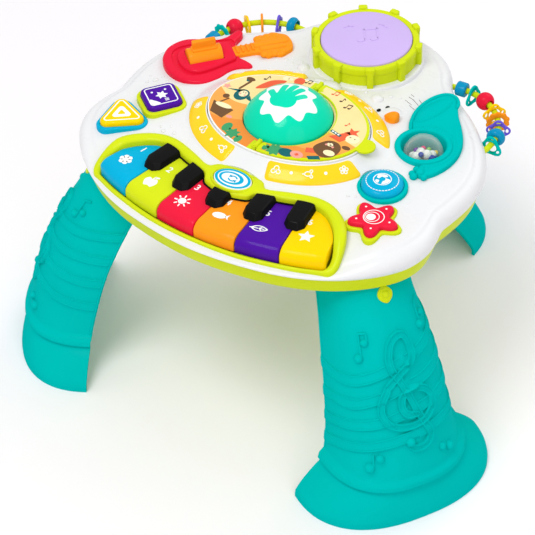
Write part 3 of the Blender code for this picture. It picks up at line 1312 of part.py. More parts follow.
RIGHT_BEADS = (
    ("blue_bead", "barrel", "blue", 94), ("teal_ring", "tri", "teal", 82), ("red_ball", "ball", "red", 67),
    ("yellow_ring", "flower", "yellow", 50), ("orange_ring", "gear", "orange", 38),
    ("purple_ring", "flower", "purple", 26), ("blue_cup", "cup", "blue", 13), ("teal_hoop", "tri", "teal", 2),
)
LEFT_BEADS = (
    ("blue_bead", "barrel", "blue", 0), ("teal_ring", "gear", "teal", 13), ("red_ball", "ball", "red", 27),
    ("yellow_ring", "disc", "yellow", 40), ("orange_ring", "disc", "orange", 54),
    ("purple_ring", "flower", "purple", 70), ("blue_cup", "cup", "blue", 84),
)


def build_arch(side, name, beads, top):
    span = [ARCH_FROM + (ARCH_TO - ARCH_FROM) * step / (ARCH_POINTS - 1) for step in range(ARCH_POINTS)]
    path = [arch_place(side, angle) for angle in span]
    add_part(f"arch_rail_{name}", tube(path, ARCH_TUBE_RADIUS), "lime", ROOT)
    cut(top, tube(path, ARCH_TUBE_RADIUS + GAP), f"arch_holes_{name}")
    centre = Matrix.Translation((side * ARCH_PLACE[0], ARCH_PLACE[1], ARCH_Z))
    for label, kind, finish, angle in beads:
        mesh, hang = bead_mesh(kind)
        mesh = moved(mesh, centre.inverted() @ arch_frame(side, angle, hang))
        bead = add_part(f"{name}_{label}", mesh, finish, ROOT)
        bead.matrix_local = centre


def door_outline(margin):
    """The battery door's round-cornered outline, grown or shrunk by a margin."""
    width = DOOR_HALF_WIDTH + margin
    depth = DOOR_HALF_DEPTH + margin
    corner = DOOR_CORNER + max(margin, -DOOR_CORNER / 2)
    points = []
    for turn, sx, sy in ((0, 1, 1), (90, -1, 1), (180, -1, -1), (270, 1, -1)):
        for step in range(4):
            angle = math.radians(turn + 30 * step)
            points.append((DOOR_PLACE[0] + sx * (width - corner) + corner * math.cos(angle),
                           DOOR_PLACE[1] + sy * (depth - corner) + corner * math.sin(angle)))
    return points


def build_battery_box(tray):
    """A frame in the tray's floor whose ledge takes the door, the door and the screw that holds it."""
    door_top = TRAY_Z + DOOR_THICKNESS
    join(tray, prism([door_outline(DOOR_FRAME)], TRAY_Z + SHELL_WALL / 2, door_top + LEDGE_HEIGHT), "battery_frame")
    cut(tray, prism([door_outline(GAP)], TRAY_Z - OVERRUN, door_top + GAP), "door_recess")
    bay = prism([door_outline(-LEDGE_WIDTH)], TRAY_Z, door_top + LEDGE_HEIGHT + OVERRUN)
    cut(tray, bay, "battery_bay")
    door = add_part("battery_door", prism([door_outline(0)], TRAY_Z, door_top), "lime", ROOT)

    place = Matrix.Translation((DOOR_PLACE[0], DOOR_PLACE[1] - DOOR_HALF_DEPTH + LEDGE_WIDTH / 2, 0))
    head_top = TRAY_Z + SCREW_HEAD_HEIGHT / 2

    def screw_profile(margin, end, bottom):
        return [(0, end), (SCREW_SHANK_RADIUS + margin, end), (SCREW_SHANK_RADIUS + margin, head_top + margin),
                (SCREW_HEAD_RADIUS + margin, head_top + margin), (SCREW_HEAD_RADIUS + margin, bottom), (0, bottom)]

    end = door_top + LEDGE_HEIGHT
    bottom = head_top - SCREW_HEAD_HEIGHT
    screw = add_part("battery_screw", turned(screw_profile(0, end, bottom), SCREW_STEPS), "steel", ROOT)
    screw.matrix_local = place
    hole = turned(screw_profile(GAP, end + OVERRUN, bottom - OVERRUN), SCREW_STEPS)
    hole = add_cutter("screw_hole", moved(hole, place))
    shape_with(door, hole, "DIFFERENCE")
    shape_with(tray, hole, "DIFFERENCE")


def build_underside(tray):
    floor_top = TRAY_Z + SHELL_WALL
    x, y = SWITCH_PLACE
    half = (SWITCH_HALF_WIDTH, SWITCH_HALF_DEPTH)
    stem = box((x - half[0], y - half[1], TRAY_Z - SWITCH_PROUD), (x + half[0], y + half[1], floor_top + GAP))
    shoulder = box((x - half[0] - SWITCH_SHOULDER, y - half[1] - SWITCH_SHOULDER, floor_top + GAP),
                   (x + half[0] + SWITCH_SHOULDER, y + half[1] + SWITCH_SHOULDER, floor_top + SWITCH_PROUD))
    switch = add_part("power_switch", stem, "grey", ROOT)
    join(switch, shoulder, "switch_shoulder")
    slot = box((x - half[0] - GAP, y - half[1] - GAP, TRAY_Z - OVERRUN),
               (x + half[0] + GAP + SWITCH_TRAVEL, y + half[1] + GAP, floor_top + OVERRUN))
    cut(tray, slot, "switch_slot")

    x, y = SPEAKER_PLACE
    low = floor_top + GAP
    profile = [(0, low), (SPEAKER_RADIUS, low), (SPEAKER_RADIUS, low + SPEAKER_EDGE),
               (SPEAKER_MAGNET_RADIUS, low + SPEAKER_HEIGHT / 2), (SPEAKER_MAGNET_RADIUS, low + SPEAKER_HEIGHT),
               (0, low + SPEAKER_HEIGHT)]
    speaker = add_part("speaker", turned(profile[::-1], 20), "grey", ROOT)
    speaker.matrix_local = Matrix.Translation((x, y, 0))
    holes = []
    for ring in range(1, GRILLE_RINGS + 1):
        for index in range(6 * ring):
            angle = math.tau * index / (6 * ring)
            place = (x + ring * GRILLE_PITCH * math.cos(angle), y + ring * GRILLE_PITCH * math.sin(angle))
            holes.append(cylinder(GRILLE_HOLE_RADIUS, TRAY_Z - OVERRUN, floor_top + GAP / 2, place, 6))
    cut(tray, joined(holes), "grille")

    x, y = BOARD_PLACE
    board_z = floor_top + BOARD_POST_HEIGHT
    posts = []
    for sx in (-1, 1):
        for sy in (-1, 1):
            inset = 2 * BOARD_POST_RADIUS
            place = (x + sx * (BOARD_HALF_WIDTH - inset), y + sy * (BOARD_HALF_DEPTH - inset))
            posts.append(cylinder(BOARD_POST_RADIUS, floor_top - SHELL_WALL / 2, board_z - GAP, place, 10))
    join(tray, joined(posts), "board_posts")
    board = box((x - BOARD_HALF_WIDTH, y - BOARD_HALF_DEPTH, board_z),
                (x + BOARD_HALF_WIDTH, y + BOARD_HALF_DEPTH, board_z + BOARD_THICKNESS))
    main_board = add_part("main_board", board, "board", ROOT)
    chip_top = board_z + BOARD_THICKNESS + BOARD_CHIP_HEIGHT
    chips = [box((x + dx * BOARD_CHIP, y - BOARD_CHIP, board_z + BOARD_THICKNESS / 2),
                 (x + (dx + 1.5) * BOARD_CHIP, y + BOARD_CHIP, chip_top)) for dx in (-4, -1, 2)]
    join(main_board, joined(chips), "chips")


def centre_on_origin():
    """Moves the root so that the middle of the model's box stands over the origin."""
    bpy.context.view_layer.update()
    graph = bpy.context.evaluated_depsgraph_get()
    corners = []
    for obj in PARTS.objects:
        evaluated = obj.evaluated_get(graph)
        corners += [evaluated.matrix_world @ Vector(corner) for corner in evaluated.bound_box]
    low_y = min(corner.y for corner in corners)
    high_y = max(corner.y for corner in corners)
    ROOT.location.y = -(low_y + high_y) / 2
    bpy.context.view_layer.update()


remove_startup_objects()
PARTS = new_collection("activity_table")
CUTTERS = new_collection("cutters")
ROOT = bpy.data.objects.new("table_centre", None)
bpy.context.scene.collection.objects.link(ROOT)

top_shell = build_top_shell()
base_tray = build_base_tray()
for leg_name, leg_angle in LEG_ANGLES.items():
    build_latch(leg_name, leg_angle, build_leg(leg_name, leg_angle, base_tray))
build_drum(top_shell)
piano_bezel = build_piano_bezel(top_shell)
build_black_keys(build_keys())
build_mode_button(piano_bezel)
build_disc_base()
build_flip_page()
build_dome_button()
build_buttons(top_shell, piano_bezel, build_light_windows(top_shell))
build_guitar(top_shell)
build_horn(top_shell)
build_rattle_ball()
build_beak(top_shell)
build_arch(1, "right", RIGHT_BEADS, top_shell)
build_arch(-1, "left", LEFT_BEADS, top_shell)
build_battery_box(base_tray)
build_underside(base_tray)
centre_on_origin()
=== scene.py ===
"""Looks of a toddler's activity table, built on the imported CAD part.

Shapes are drawn in millimetres about the dome's centre on the floor, in the CAD's own layout, and each piece
is moved to the frame's metres when it is finished.
"""
import json
import math

import bmesh
import bpy
from mathutils import Matrix, Vector


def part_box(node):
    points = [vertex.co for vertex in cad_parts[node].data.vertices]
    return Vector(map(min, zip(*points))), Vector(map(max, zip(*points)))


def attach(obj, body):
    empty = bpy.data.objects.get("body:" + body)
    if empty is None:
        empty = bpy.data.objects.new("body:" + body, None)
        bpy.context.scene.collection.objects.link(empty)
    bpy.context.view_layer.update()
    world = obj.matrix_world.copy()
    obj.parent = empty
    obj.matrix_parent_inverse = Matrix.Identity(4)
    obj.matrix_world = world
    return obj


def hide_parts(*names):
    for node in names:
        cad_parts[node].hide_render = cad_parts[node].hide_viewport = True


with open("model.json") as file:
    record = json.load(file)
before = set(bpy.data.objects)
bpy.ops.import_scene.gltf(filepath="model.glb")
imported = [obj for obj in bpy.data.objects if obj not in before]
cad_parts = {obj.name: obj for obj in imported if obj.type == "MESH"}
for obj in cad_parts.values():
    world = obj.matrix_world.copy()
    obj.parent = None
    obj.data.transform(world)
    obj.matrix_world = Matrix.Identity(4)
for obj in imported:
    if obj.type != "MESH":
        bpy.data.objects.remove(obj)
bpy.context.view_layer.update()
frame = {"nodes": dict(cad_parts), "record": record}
DOME_LOW, DOME_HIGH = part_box("dome_button")
MIDDLE = (DOME_LOW[1] + DOME_HIGH[1]) / 2
MM = 0.001
TO_FRAME = Matrix.Translation((0, MIDDLE, 0)) @ Matrix.Scale(MM, 4)

# ---------------------------------------------------------------- numbers shared by several pieces

TOP_REACH = 194
WALL = 2.2
SEAM_Z = 231
# Half width, half depth and height of the windows' ring
RING_FOOT = (99, 76.5, 257)
RING_INNER = (80.8, 58.2, 268)
# Angle and share of the table's reach, for the seam between shell and tray
SEAM = (
    (-90, 0.823), (-80, 0.827), (-70, 0.844), (-60, 0.876), (-50, 0.914), (-40, 0.953), (-30, 0.985),
    (-24, 0.993), (-18, 0.978), (-12.5, 0.942), (-8, 0.912), (-3, 0.914), (6, 0.928), (14.5, 0.933),
    (25, 0.914), (33, 0.890), (42, 0.868), (51, 0.850), (57, 0.855), (61, 0.878), (65, 0.918),
    (72, 0.969), (80, 0.995), (90, 1.0),
)
# Way inwards from the seam, height at the sides, height at the piano, bulge
SHELL_PROFILE = (
    (0.0, 0.0, 0.0, 0.0), (0.0, 0.14, 0.04, 0.75), (0.0, 0.30, 0.08, 1.0), (0.006, 0.46, 0.115, 0.88),
    (0.022, 0.60, 0.15, 0.50), (0.050, 0.68, 0.175, 0.14), (0.085, 0.715, 0.20, 0.0), (0.112, 0.765, 0.235, 0.0),
    (0.145, 0.795, 0.28, 0.0), (0.30, 0.815, 0.48, 0.0), (0.50, 0.84, 0.70, 0.0), (0.80, 0.935, 0.88, 0.0),
    (1.0, 1.0, 1.0, 0.0),
)


def hermite(low, high, slope_low, slope_high, way):
    square, cube = way * way, way ** 3
    return (low * (2 * cube - 3 * square + 1) + slope_low * (cube - 2 * square + way)
            + high * (3 * square - 2 * cube) + slope_high * (cube - square))


def smooth_step(value, low, high):
    share = min(1, max(0, (value - low) / (high - low)))
    return share * share * (3 - 2 * share)


def spaced(low, high, steps):
    return [low + (high - low) * i / steps for i in range(steps + 1)]


def from_table(table, value):
    """Reads a table of (value, result ...) rows as a smooth curve."""
    first, second, last, inner = table[0], table[1], table[-1], table[-2]
    ends = [(2 * first[0] - second[0], *second[1:]), *table, (2 * last[0] - inner[0], *inner[1:])]
    value = min(max(value, first[0]), last[0])
    for before, low, high, after in zip(ends, ends[1:], ends[2:], ends[3:]):
        if value <= high[0]:
            span = high[0] - low[0]
            result = []
            for b, l, h, a in zip(before[1:], low[1:], high[1:], after[1:]):
                slope_low = (h - b) / (high[0] - before[0]) * span
                slope_high = (a - l) / (after[0] - low[0]) * span
                result.append(hermite(l, h, slope_low, slope_high, (value - low[0]) / span))
            return result


def folded(angle):
    """The angle's mirror image on the right side, from -90 at the front to 90 at the back."""
    return math.degrees(math.asin(max(-1, min(1, math.sin(math.radians(angle))))))


def seam_radius(angle):
    return TOP_REACH * from_table(SEAM, folded(angle))[0]


def oval_radius(angle, half_width, half_depth):
    """Distance from an oval's middle to its edge along a ray."""
    return 1 / math.hypot(math.cos(math.radians(angle)) / half_width, math.sin(math.radians(angle)) / half_depth)


def polar(angle, radius, z):
    return (radius * math.cos(math.radians(angle)), radius * math.sin(math.radians(angle)), z)


def ring_radii(angle):
    """Radii of the windows' ring at its foot and at its inner edge."""
    return oval_radius(angle, *RING_FOOT[:2]), oval_radius(angle, *RING_INNER[:2])


def ring_z(angle, radius):
    foot, inner = ring_radii(angle)
    return RING_FOOT[2] + (RING_INNER[2] - RING_FOOT[2]) * (foot - radius) / (foot - inner)


def front_share(angle):
    """0 at the sides and back, 1 at the piano."""
    return smooth_step(-folded(angle), 26, 48)


def shell_row(way, side, front, bulge, angles):
    """One line round the shell, at a row of its profile."""
    row = []
    for angle in angles:
        share = front_share(angle)
        seam, foot = seam_radius(angle), ring_radii(angle)[0]
        radius = seam + (foot - seam) * way + 3 * bulge * (1 - share / 2)
        row.append(polar(angle, radius, SEAM_Z + (RING_FOOT[2] - SEAM_Z) * (side + (front - side) * share)))
    return row


def shell_z(x, y):
    """Height of the shell's surface at a place."""
    angle, radius = math.degrees(math.atan2(y, x)), math.hypot(x, y)
    seam, foot = seam_radius(angle), ring_radii(angle)[0]
    if radius < foot:
        return ring_z(angle, radius)
    side, front = from_table([row[:3] for row in SHELL_PROFILE[2:]], (seam - radius) / (seam - foot))
    return SEAM_Z + (RING_FOOT[2] - SEAM_Z) * (side + (front - side) * front_share(angle))


# ---------------------------------------------------------------- shapes

def curve_part(before, low, high, after, steps):
    """The part of a smooth curve from low up to high, led by the points on either side."""
    return [tuple(hermite(low[k], high[k], (high[k] - before[k]) / 2, (after[k] - low[k]) / 2, step / steps)
                  for k in (0, 1)) for step in range(steps)]


def smoothed(points, steps):
    """A closed smooth curve through the points."""
    curve = []
    for index in range(len(points)):
        curve += curve_part(*(points[(index + way) % len(points)] for way in (-1, 0, 1, 2)), steps)
    return curve


def open_curve(points, steps=6):
    """A smooth curve through points from the first to the last."""
    ends = [tuple(2 * a - b for a, b in zip(points[0], points[1])), *points,
            tuple(2 * a - b for a, b in zip(points[-1], points[-2]))]
    curve = []
    for four in zip(ends, ends[1:], ends[2:], ends[3:]):
        curve += curve_part(*four, steps)
    return curve + [tuple(points[-1])]


def grown(points, margin):
    """A closed anticlockwise outline moved outwards by a margin."""
    result = []
    for index, (x, y) in enumerate(points):
        one = (Vector((x, y)) - Vector(points[index - 1])).normalized()
        two = (Vector(points[(index + 1) % len(points)]) - Vector((x, y))).normalized()
        normal = (Vector((one.y, -one.x)) + Vector((two.y, -two.x))).normalized()
        lean = max(0.6, normal.dot(Vector((two.y, -two.x))))
        result.append((x + normal.x * margin / lean, y + normal.y * margin / lean))
    return result


def turned(points, angle, place=(0, 0)):
    c, s = math.cos(math.radians(angle)), math.sin(math.radians(angle))
    return [(place[0] + c * x - s * y, place[1] + s * x + c * y) for x, y in points]


def oval(half_width, half_depth=None, steps=48, place=(0, 0)):
    half_depth = half_width if half_depth is None else half_depth
    return [(place[0] + half_width * math.cos(math.tau * i / steps),
             place[1] + half_depth * math.sin(math.tau * i / steps)) for i in range(steps)]


def arc(centre, radii, start, end, steps):
    """Points of an elliptic arc between two angles."""
    return [(centre[0] + radii[0] * math.cos(math.radians(a)), centre[1] + radii[1] * math.sin(math.radians(a)))
            for a in spaced(start, end, steps)]


def rounded_polygon(sides, radius, corner, steps):
    points = []
    for index, centre in enumerate(oval(radius, steps=sides)):
        middle = 360 * index / sides
        points += arc(centre, (corner, corner), middle - 180 / sides, middle + 180 / sides, steps)
    return points


def lobed(mean, swing, lobes):
    points = []
    for x, y in oval(1, steps=60):
        radius = mean + swing * math.cos(lobes * math.atan2(y, x))
        points.append((radius * x, radius * y))
    return points


def star_outline(size, points, inner, x=0, y=0, turn=90):
    result = []
    for i in range(2 * points):
        spot = polar(turn + 180 / points * i, size * inner if i % 2 else size, 0)
        result.append((x + spot[0], y + spot[1]))
    return result


def capsule(start, end, radius, steps=8):
    """Outline of a thick line with round ends."""
    way = math.degrees(math.atan2(end[1] - start[1], end[0] - start[0]))
    return (arc(end, (radius, radius), way - 90, way + 90, steps)
            + arc(start, (radius, radius), way + 90, way + 270, steps))


def smooth_shape(points, steps=5):
    """A closed smooth outline through points that are given clockwise, turned anticlockwise."""
    return smoothed(points, steps)[::-1]


def skin(rings, looped=True, ends=(True, True), around=False):
    """Bridges rows of points into one surface. Looped rows are rings, whose first and last can be filled."""
    bm = bmesh.new()
    loops = []
    for ring in rings:
        verts = [bm.verts.new(point) for point in ring]
        followers = verts[1:] + verts[:1] if looped else verts[1:]
        loops.append([bm.edges.new(pair) for pair in zip(verts, followers)])
    for low, high in zip(loops, loops[1:]):
        bmesh.ops.bridge_loops(bm, edges=low + high)
    if around:
        bmesh.ops.bridge_loops(bm, edges=loops[-1] + loops[0])
    for wanted, loop in zip(ends, (loops[0], loops[-1])):
        if wanted and looped and not around:
            bmesh.ops.contextual_create(bm, geom=loop)
    return bm


def spun(profile, steps, closed=False):
    """Turns a profile of (radius, height) about Z."""
    bm = bmesh.new()
    verts = [bm.verts.new((radius, 0, height)) for radius, height in profile]
    pairs = list(zip(verts, verts[1:])) + ([(verts[-1], verts[0])] if closed else [])
    edges = [bm.edges.new(pair) for pair in pairs]
    bmesh.ops.spin(bm, geom=verts + edges, cent=(0, 0, 0), axis=(0, 0, 1), angle=math.tau, steps=steps,
                   use_merge=True)
    bmesh.ops.remove_doubles(bm, verts=bm.verts, dist=0.01)
    return bm


def bevelled(bm, edges, width, segments):
    bmesh.ops.bevel(bm, geom=edges, offset=width, segments=segments, profile=0.5, affect="EDGES", material=-1,
                    clamp_overlap=True)


def raise_faces(bm, faces, height):
    """Pulls flat faces straight up into a solid."""
    top = [item for item in bmesh.ops.extrude_face_region(bm, geom=faces)["geom"]
           if isinstance(item, bmesh.types.BMVert)]
    bmesh.ops.translate(bm, verts=top, vec=(0, 0, height))


def plate(outline, low, high, edge=0.0, segments=4, bottom_edge=0.0):
    """A solid plate whose upper and lower rims can be rounded."""
    bm = bmesh.new()
    raise_faces(bm, [bm.faces.new([bm.verts.new((x, y, low)) for x, y in outline])], high - low)
    for z, width in ((high, edge), (low, bottom_edge)):
        if width:
            bevelled(bm, [e for e in bm.edges if all(abs(v.co.z - z) < 0.001 for v in e.verts)], width, segments)
    return bm


def brick(size, place, edge=0.0, segments=3):
    bm = bmesh.new()
    bmesh.ops.create_cube(bm, size=1, matrix=shift(*place) @ Matrix.Diagonal((*size, 1)))
    if edge:
        bevelled(bm, list(bm.edges), edge, segments)
    return bm


def ball(radius, place=(0, 0, 0), squash=(1, 1, 1), steps=24):
    bm = bmesh.new()
    bmesh.ops.create_uvsphere(bm, u_segments=steps, v_segments=steps // 2, radius=radius,
                              matrix=shift(*place) @ Matrix.Diagonal((*squash, 1)))
    return bm


def pipe(points, radius, steps, closed=False):
    """A round tube along a path of points."""
    rings, count = [], len(points)
    points = [Vector(point) for point in points]
    side = None
    for index, point in enumerate(points):
        before = points[index - 1] if index or closed else point
        after = points[(index + 1) % count] if index < count - 1 or closed else point
        along = (after - before).normalized()
        if side is None:
            side = along.orthogonal().normalized()
        side = (side - along * side.dot(along)).normalized()
        across = along.cross(side)
        width = radius[index] if isinstance(radius, (list, tuple)) else radius
        rings.append([point + (side * x + across * y) * width for x, y in oval(1, steps=steps)])
    return skin(rings, around=closed)


def shift(x, y, z=0):
    return Matrix.Translation((x, y, z))


def rotation(degrees, axis="Z"):
    return Matrix.Rotation(math.radians(degrees), 4, axis)


def together(*parts):
    """One bmesh that holds several, moved by a matrix where a pair gives one."""
    whole = bmesh.new()
    for part in parts:
        part, matrix = part if isinstance(part, tuple) else (part, None)
        if matrix is not None:
            bmesh.ops.transform(part, matrix=matrix, verts=part.verts)
        mesh = bpy.data.meshes.new("part")
        part.to_mesh(mesh)
        part.free()
        whole.from_mesh(mesh)
        bpy.data.meshes.remove(mesh)
    return whole


def loose_object(bm, keep_normals=False):
    """A scratch object of a bmesh."""
    if not keep_normals:
        bmesh.ops.recalc_face_normals(bm, faces=bm.faces)
    mesh = bpy.data.meshes.new("work")
    bm.to_mesh(mesh)
    bm.free()
    obj = bpy.data.objects.new("work", mesh)
    bpy.context.scene.collection.objects.link(obj)
    return obj


def evaluated(obj):
    """A bmesh of an object with its modifiers applied."""
    bpy.context.view_layer.update()
    mesh = bpy.data.meshes.new_from_object(obj.evaluated_get(bpy.context.evaluated_depsgraph_get()))
    bm = bmesh.new()
    bm.from_mesh(mesh)
    bpy.data.meshes.remove(mesh)
    return bm


def worked(bm, *steps, keep_normals=False):
    """The bmesh after modifiers, each a type and its settings. A tool is given as a bmesh."""
    spent = [loose_object(bm, keep_normals)]
    for kind, settings in steps:
        modifier = spent[0].modifiers.new(kind.lower(), kind)
        for key, value in settings.items():
            if key == "object":
                value = loose_object(value)
                spent.append(value)
            setattr(modifier, key, value)
    result = evaluated(spent[0])
    for obj in spent:
        old = obj.data
        bpy.data.objects.remove(obj)
        bpy.data.meshes.remove(old)
    return result


def wall(thickness):
    """The modifier that gives a sheet its thickness inwards."""
    return "SOLIDIFY", {"thickness": thickness, "offset": -1}


def boolean(tool, operation="DIFFERENCE"):
    return "BOOLEAN", {"operation": operation, "solver": "EXACT", "object": tool}


def cut(bm, *tools):
    return worked(bm, *(boolean(tool) for tool in tools))


def common(bm, tool):
    """The space that two solids share."""
    return worked(bm, boolean(tool, "INTERSECT"))


def piece(name, bm, paint, body, slot, *nodes, sharp=35):
    """Finishes a piece: it goes to the frame, rides on a body and stands for CAD nodes."""
    bmesh.ops.remove_doubles(bm, verts=bm.verts, dist=0.004)
    bmesh.ops.recalc_face_normals(bm, faces=bm.faces)
    bmesh.ops.transform(bm, matrix=TO_FRAME, verts=bm.verts)
    mesh = bpy.data.meshes.new(name)
    bm.to_mesh(mesh)
    bm.free()
    mesh.shade_smooth()
    mesh.set_sharp_from_angle(angle=math.radians(sharp))
    mesh.materials.append(paint.material)
    obj = bpy.data.objects.new(name, mesh)
    bpy.context.scene.collection.objects.link(obj)
    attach(obj, body)
    if nodes:
        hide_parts(*nodes)


# ---------------------------------------------------------------- paints

class Signal:
    """A shader socket that takes Python's signs."""

    def __init__(self, paint, socket):
        self.paint, self.socket = paint, socket

    def __add__(self, other):
        return self.paint.sum("ADD", self, other)

    def __sub__(self, other):
        return self.paint.sum("SUBTRACT", self, other)

    def __rsub__(self, other):
        return self.paint.sum("SUBTRACT", other, self)

    def __mul__(self, other):
        return self.paint.sum("MULTIPLY", self, other)

    __radd__, __rmul__ = __add__, __mul__


class Paint:
    """A node material for one finish."""

    def __init__(self, name, rough, **constants):
        self.material = bpy.data.materials.new(name)
        self.material.use_nodes = True
        self.tree = self.material.node_tree
        self.shader = self.tree.nodes["Principled BSDF"]
        self.shader.inputs["Roughness"].default_value = rough
        for key, value in constants.items():
            self.shader.inputs[key.replace("_", " ")].default_value = value

    def feed(self, socket, value):
        if isinstance(value, Signal):
            self.tree.links.new(value.socket, socket)
        elif isinstance(value, (tuple, list)) and len(value) == 3 and len(socket.default_value) == 4:
            socket.default_value = (*value, 1)
        else:
            socket.default_value = value

    def node(self, kind, settings=None, out=0, **inputs):
        node = self.tree.nodes.new("ShaderNode" + kind)
        for key, value in (settings or {}).items():
            setattr(node, key, value)
        for key, value in inputs.items():
            if value is not None:
                self.feed(node.inputs[int(key[1:]) if key[0] == "i" and key[1:].isdigit() else key], value)
        return Signal(self, node.outputs[out])

    def sum(self, operation, one, two=None):
        return self.node("Math", {"operation": operation}, i0=one, i1=two)

    def mix(self, mask, one, two):
        return self.node("Mix", {"data_type": "RGBA"}, out=2, i0=mask, i6=one, i7=two)

    def place(self):
        return self.node("TexCoord", out=3)

    def axes(self):
        """X, Y and Z of a point in table millimetres."""
        split = self.node("SeparateXYZ", Vector=self.place())
        x, y, z = (Signal(self, split.socket.node.outputs[i]) for i in range(3))
        return x * (1 / MM), (y - MIDDLE) * (1 / MM), z * (1 / MM)

    def noise(self, scale, detail=3.0):
        return self.node("TexNoise", Vector=self.place(), Scale=scale, Detail=detail, Roughness=0.5)

    def step(self, value, edge, soft):
        """1 above the edge, 0 below it, over a soft width."""
        return self.node("MapRange", {"clamp": True}, Value=value - edge, i1=-soft, i2=soft, i3=0.0, i4=1.0)

    def colour(self, value):
        self.feed(self.shader.inputs["Base Color"], value)

    def bump(self, height, distance, strength):
        bump = self.node("Bump", Height=height, Distance=distance, Strength=strength)
        self.feed(self.shader.inputs["Normal"], bump)


def lighter(colour, amount):
    return tuple(min(1.0, c * (1 + amount)) for c in colour)


def darker(colour, share):
    return tuple(c * (1 - share) for c in colour)


def moulded(name, colour, rough, coat=0.09, grain=0.00006, mottle=0.06, shine=0.03):
    """Injection-moulded plastic: faint mottling, a fine satin grain and slow waves in its gloss."""
    paint = Paint(name, rough, Coat_Weight=coat, Coat_Roughness=0.12, Specular_IOR_Level=shine)
    cloud = paint.noise(22.0, 2.0)
    paint.colour(paint.mix(cloud, darker(colour, mottle), lighter(colour, mottle * 0.5)))
    gloss = paint.noise(60.0, 3.0)
    paint.feed(paint.shader.inputs["Roughness"], rough - 0.05 + gloss * 0.1)
    fine = paint.noise(1500.0, 2.0)
    wave = paint.noise(35.0, 1.0)
    paint.bump(fine * 0.3 + wave * 2.0, grain, 0.35)
    return paint


# ---------------------------------------------------------------- finishes

SNOW = (0.755, 0.76, 0.77)
LIME = (0.62, 0.72, 0.010)
TEAL = (0.0, 0.475, 0.45)
BLUE = (0.0, 0.40, 0.65)
RED = (0.78, 0.012, 0.045)
ORANGE = (0.95, 0.30, 0.012)
YELLOW = (0.97, 0.62, 0.0)
PURPLE = (0.07, 0.006, 0.32)
LILAC = (0.58, 0.44, 0.80)
VIOLET = (0.15, 0.10, 0.68)
PAPER = (0.90, 0.90, 0.88)

white = moulded("shell_white", SNOW, 0.28, 0.08, mottle=0.015, shine=0.2)
lime = moulded("lime_plastic", LIME, 0.3)
teal = moulded("teal_plastic", TEAL, 0.34, 0.012, shine=0.0)
blue = moulded("blue_plastic", BLUE, 0.28)
red = moulded("red_plastic", RED, 0.26, 0.1)
orange = moulded("orange_plastic", ORANGE, 0.3)
yellow = moulded("yellow_plastic", YELLOW, 0.28)
purple = moulded("purple_plastic", PURPLE, 0.28, 0.1)
violet = moulded("violet_plastic", VIOLET, 0.3)
black = moulded("black_plastic", (0.006, 0.006, 0.0065), 0.38, 0.08, grain=0.0001, mottle=0.3)
dark = moulded("dark_parts", (0.03, 0.03, 0.035), 0.5, 0.0, mottle=0.2)
print_white = moulded("printed_white", PAPER, 0.45, 0.0, mottle=0.03)
print_dark = moulded("printed_dark", (0.09, 0.05, 0.04), 0.5, 0.0, mottle=0.1)


# ---------------------------------------------------------------- outlines that several pieces share

BEZEL_OUTER = (
    (0.0, -155.0), (46.6, -151.9), (90.7, -141.8), (116.8, -132.2), (127.6, -127.6), (129.9, -117.3),
    (123.7, -95.8), (112.0, -80.3), (93.9, -69.3), (75.1, -67.6), (51.8, -74.5), (31.7, -81.8), (22.0, -74.1),
    (0.0, -71.0),
)
BEZEL_INNER = (
    (0.0, -151.7), (45.3, -148.4), (88.1, -138.6), (111.8, -130.4), (120.6, -125.6), (121.2, -114.9),
    (113.1, -99.7), (103.6, -88.7), (90.7, -79.9), (74.5, -78.0), (53.1, -84.8), (28.5, -92.6), (21.4, -100.4),
    (0.0, -105.2),
)


def both_sides(half):
    """A closed outline from its right half."""
    return smoothed(list(half) + [(-x, y) for x, y in reversed(half[1:-1])], 4)


bezel_outer, bezel_inner = both_sides(BEZEL_OUTER), both_sides(BEZEL_INNER)
GUITAR = (-128.3, 47.6)
GUITAR_TURN = 50
GUITAR_SCALE = 46.0
GUITAR_BODY = (
    (-0.87, 0.0), (-0.81, 0.30), (-0.61, 0.57), (-0.26, 0.70), (0.11, 0.61), (0.39, 0.50),
    (0.61, 0.53), (0.87, 0.68), (0.98, 0.62), (0.92, 0.47), (0.76, 0.30), (0.66, 0.0),
    (0.70, -0.26), (0.80, -0.42), (0.87, -0.58), (0.80, -0.66), (0.58, -0.60), (0.36, -0.64),
    (0.09, -0.80), (-0.26, -0.86), (-0.61, -0.68), (-0.81, -0.35),
)
WELL = (117, 43)
HORN = (
    (-0.26, 0.20), (-0.38, 0.40), (-0.41, 0.60), (-0.36, 0.80), (-0.27, 0.95), (-0.14, 0.97),
    (-0.04, 0.83), (0.06, 0.68), (0.20, 0.51), (0.33, 0.31), (0.40, 0.09), (0.40, -0.14),
    (0.33, -0.36), (0.22, -0.47), (0.13, -0.36), (0.20, 0.0), (0.0, 0.22),
)
DRUM = (0, 132.5)


def guitar_local(shares, steps=5):
    """A guitar outline about the roller, from shares of the guitar's scale."""
    return smooth_shape([(x * GUITAR_SCALE, y * GUITAR_SCALE) for x, y in shares], steps)


guitar_body = turned(guitar_local(GUITAR_BODY, 4), GUITAR_TURN, GUITAR)
horn_outline = smooth_shape([(WELL[0] + 80 * x, WELL[1] + 80 * y) for x, y in HORN])
# X, Y, top of the base, turn, outline at a margin
BUTTONS = {
    "triangle": (-140.3, -66.3, 255.5, 8, lambda margin: rounded_polygon(3, 15.5, 6.6 + margin, 10)),
    "square": (-122.3, -29.2, 259.2, 9, lambda margin: rounded_polygon(4, 14.2, 6.8 + margin, 8)),
    "round": (114.2, -22.6, 257.0, 0, lambda margin: oval(19 + margin, steps=64)),
    "star": (132.2, -65.5, 255.0, 4, lambda margin: lobed(18.2 + margin, 4.6, 5)),
}


# ---------------------------------------------------------------- shell and tray

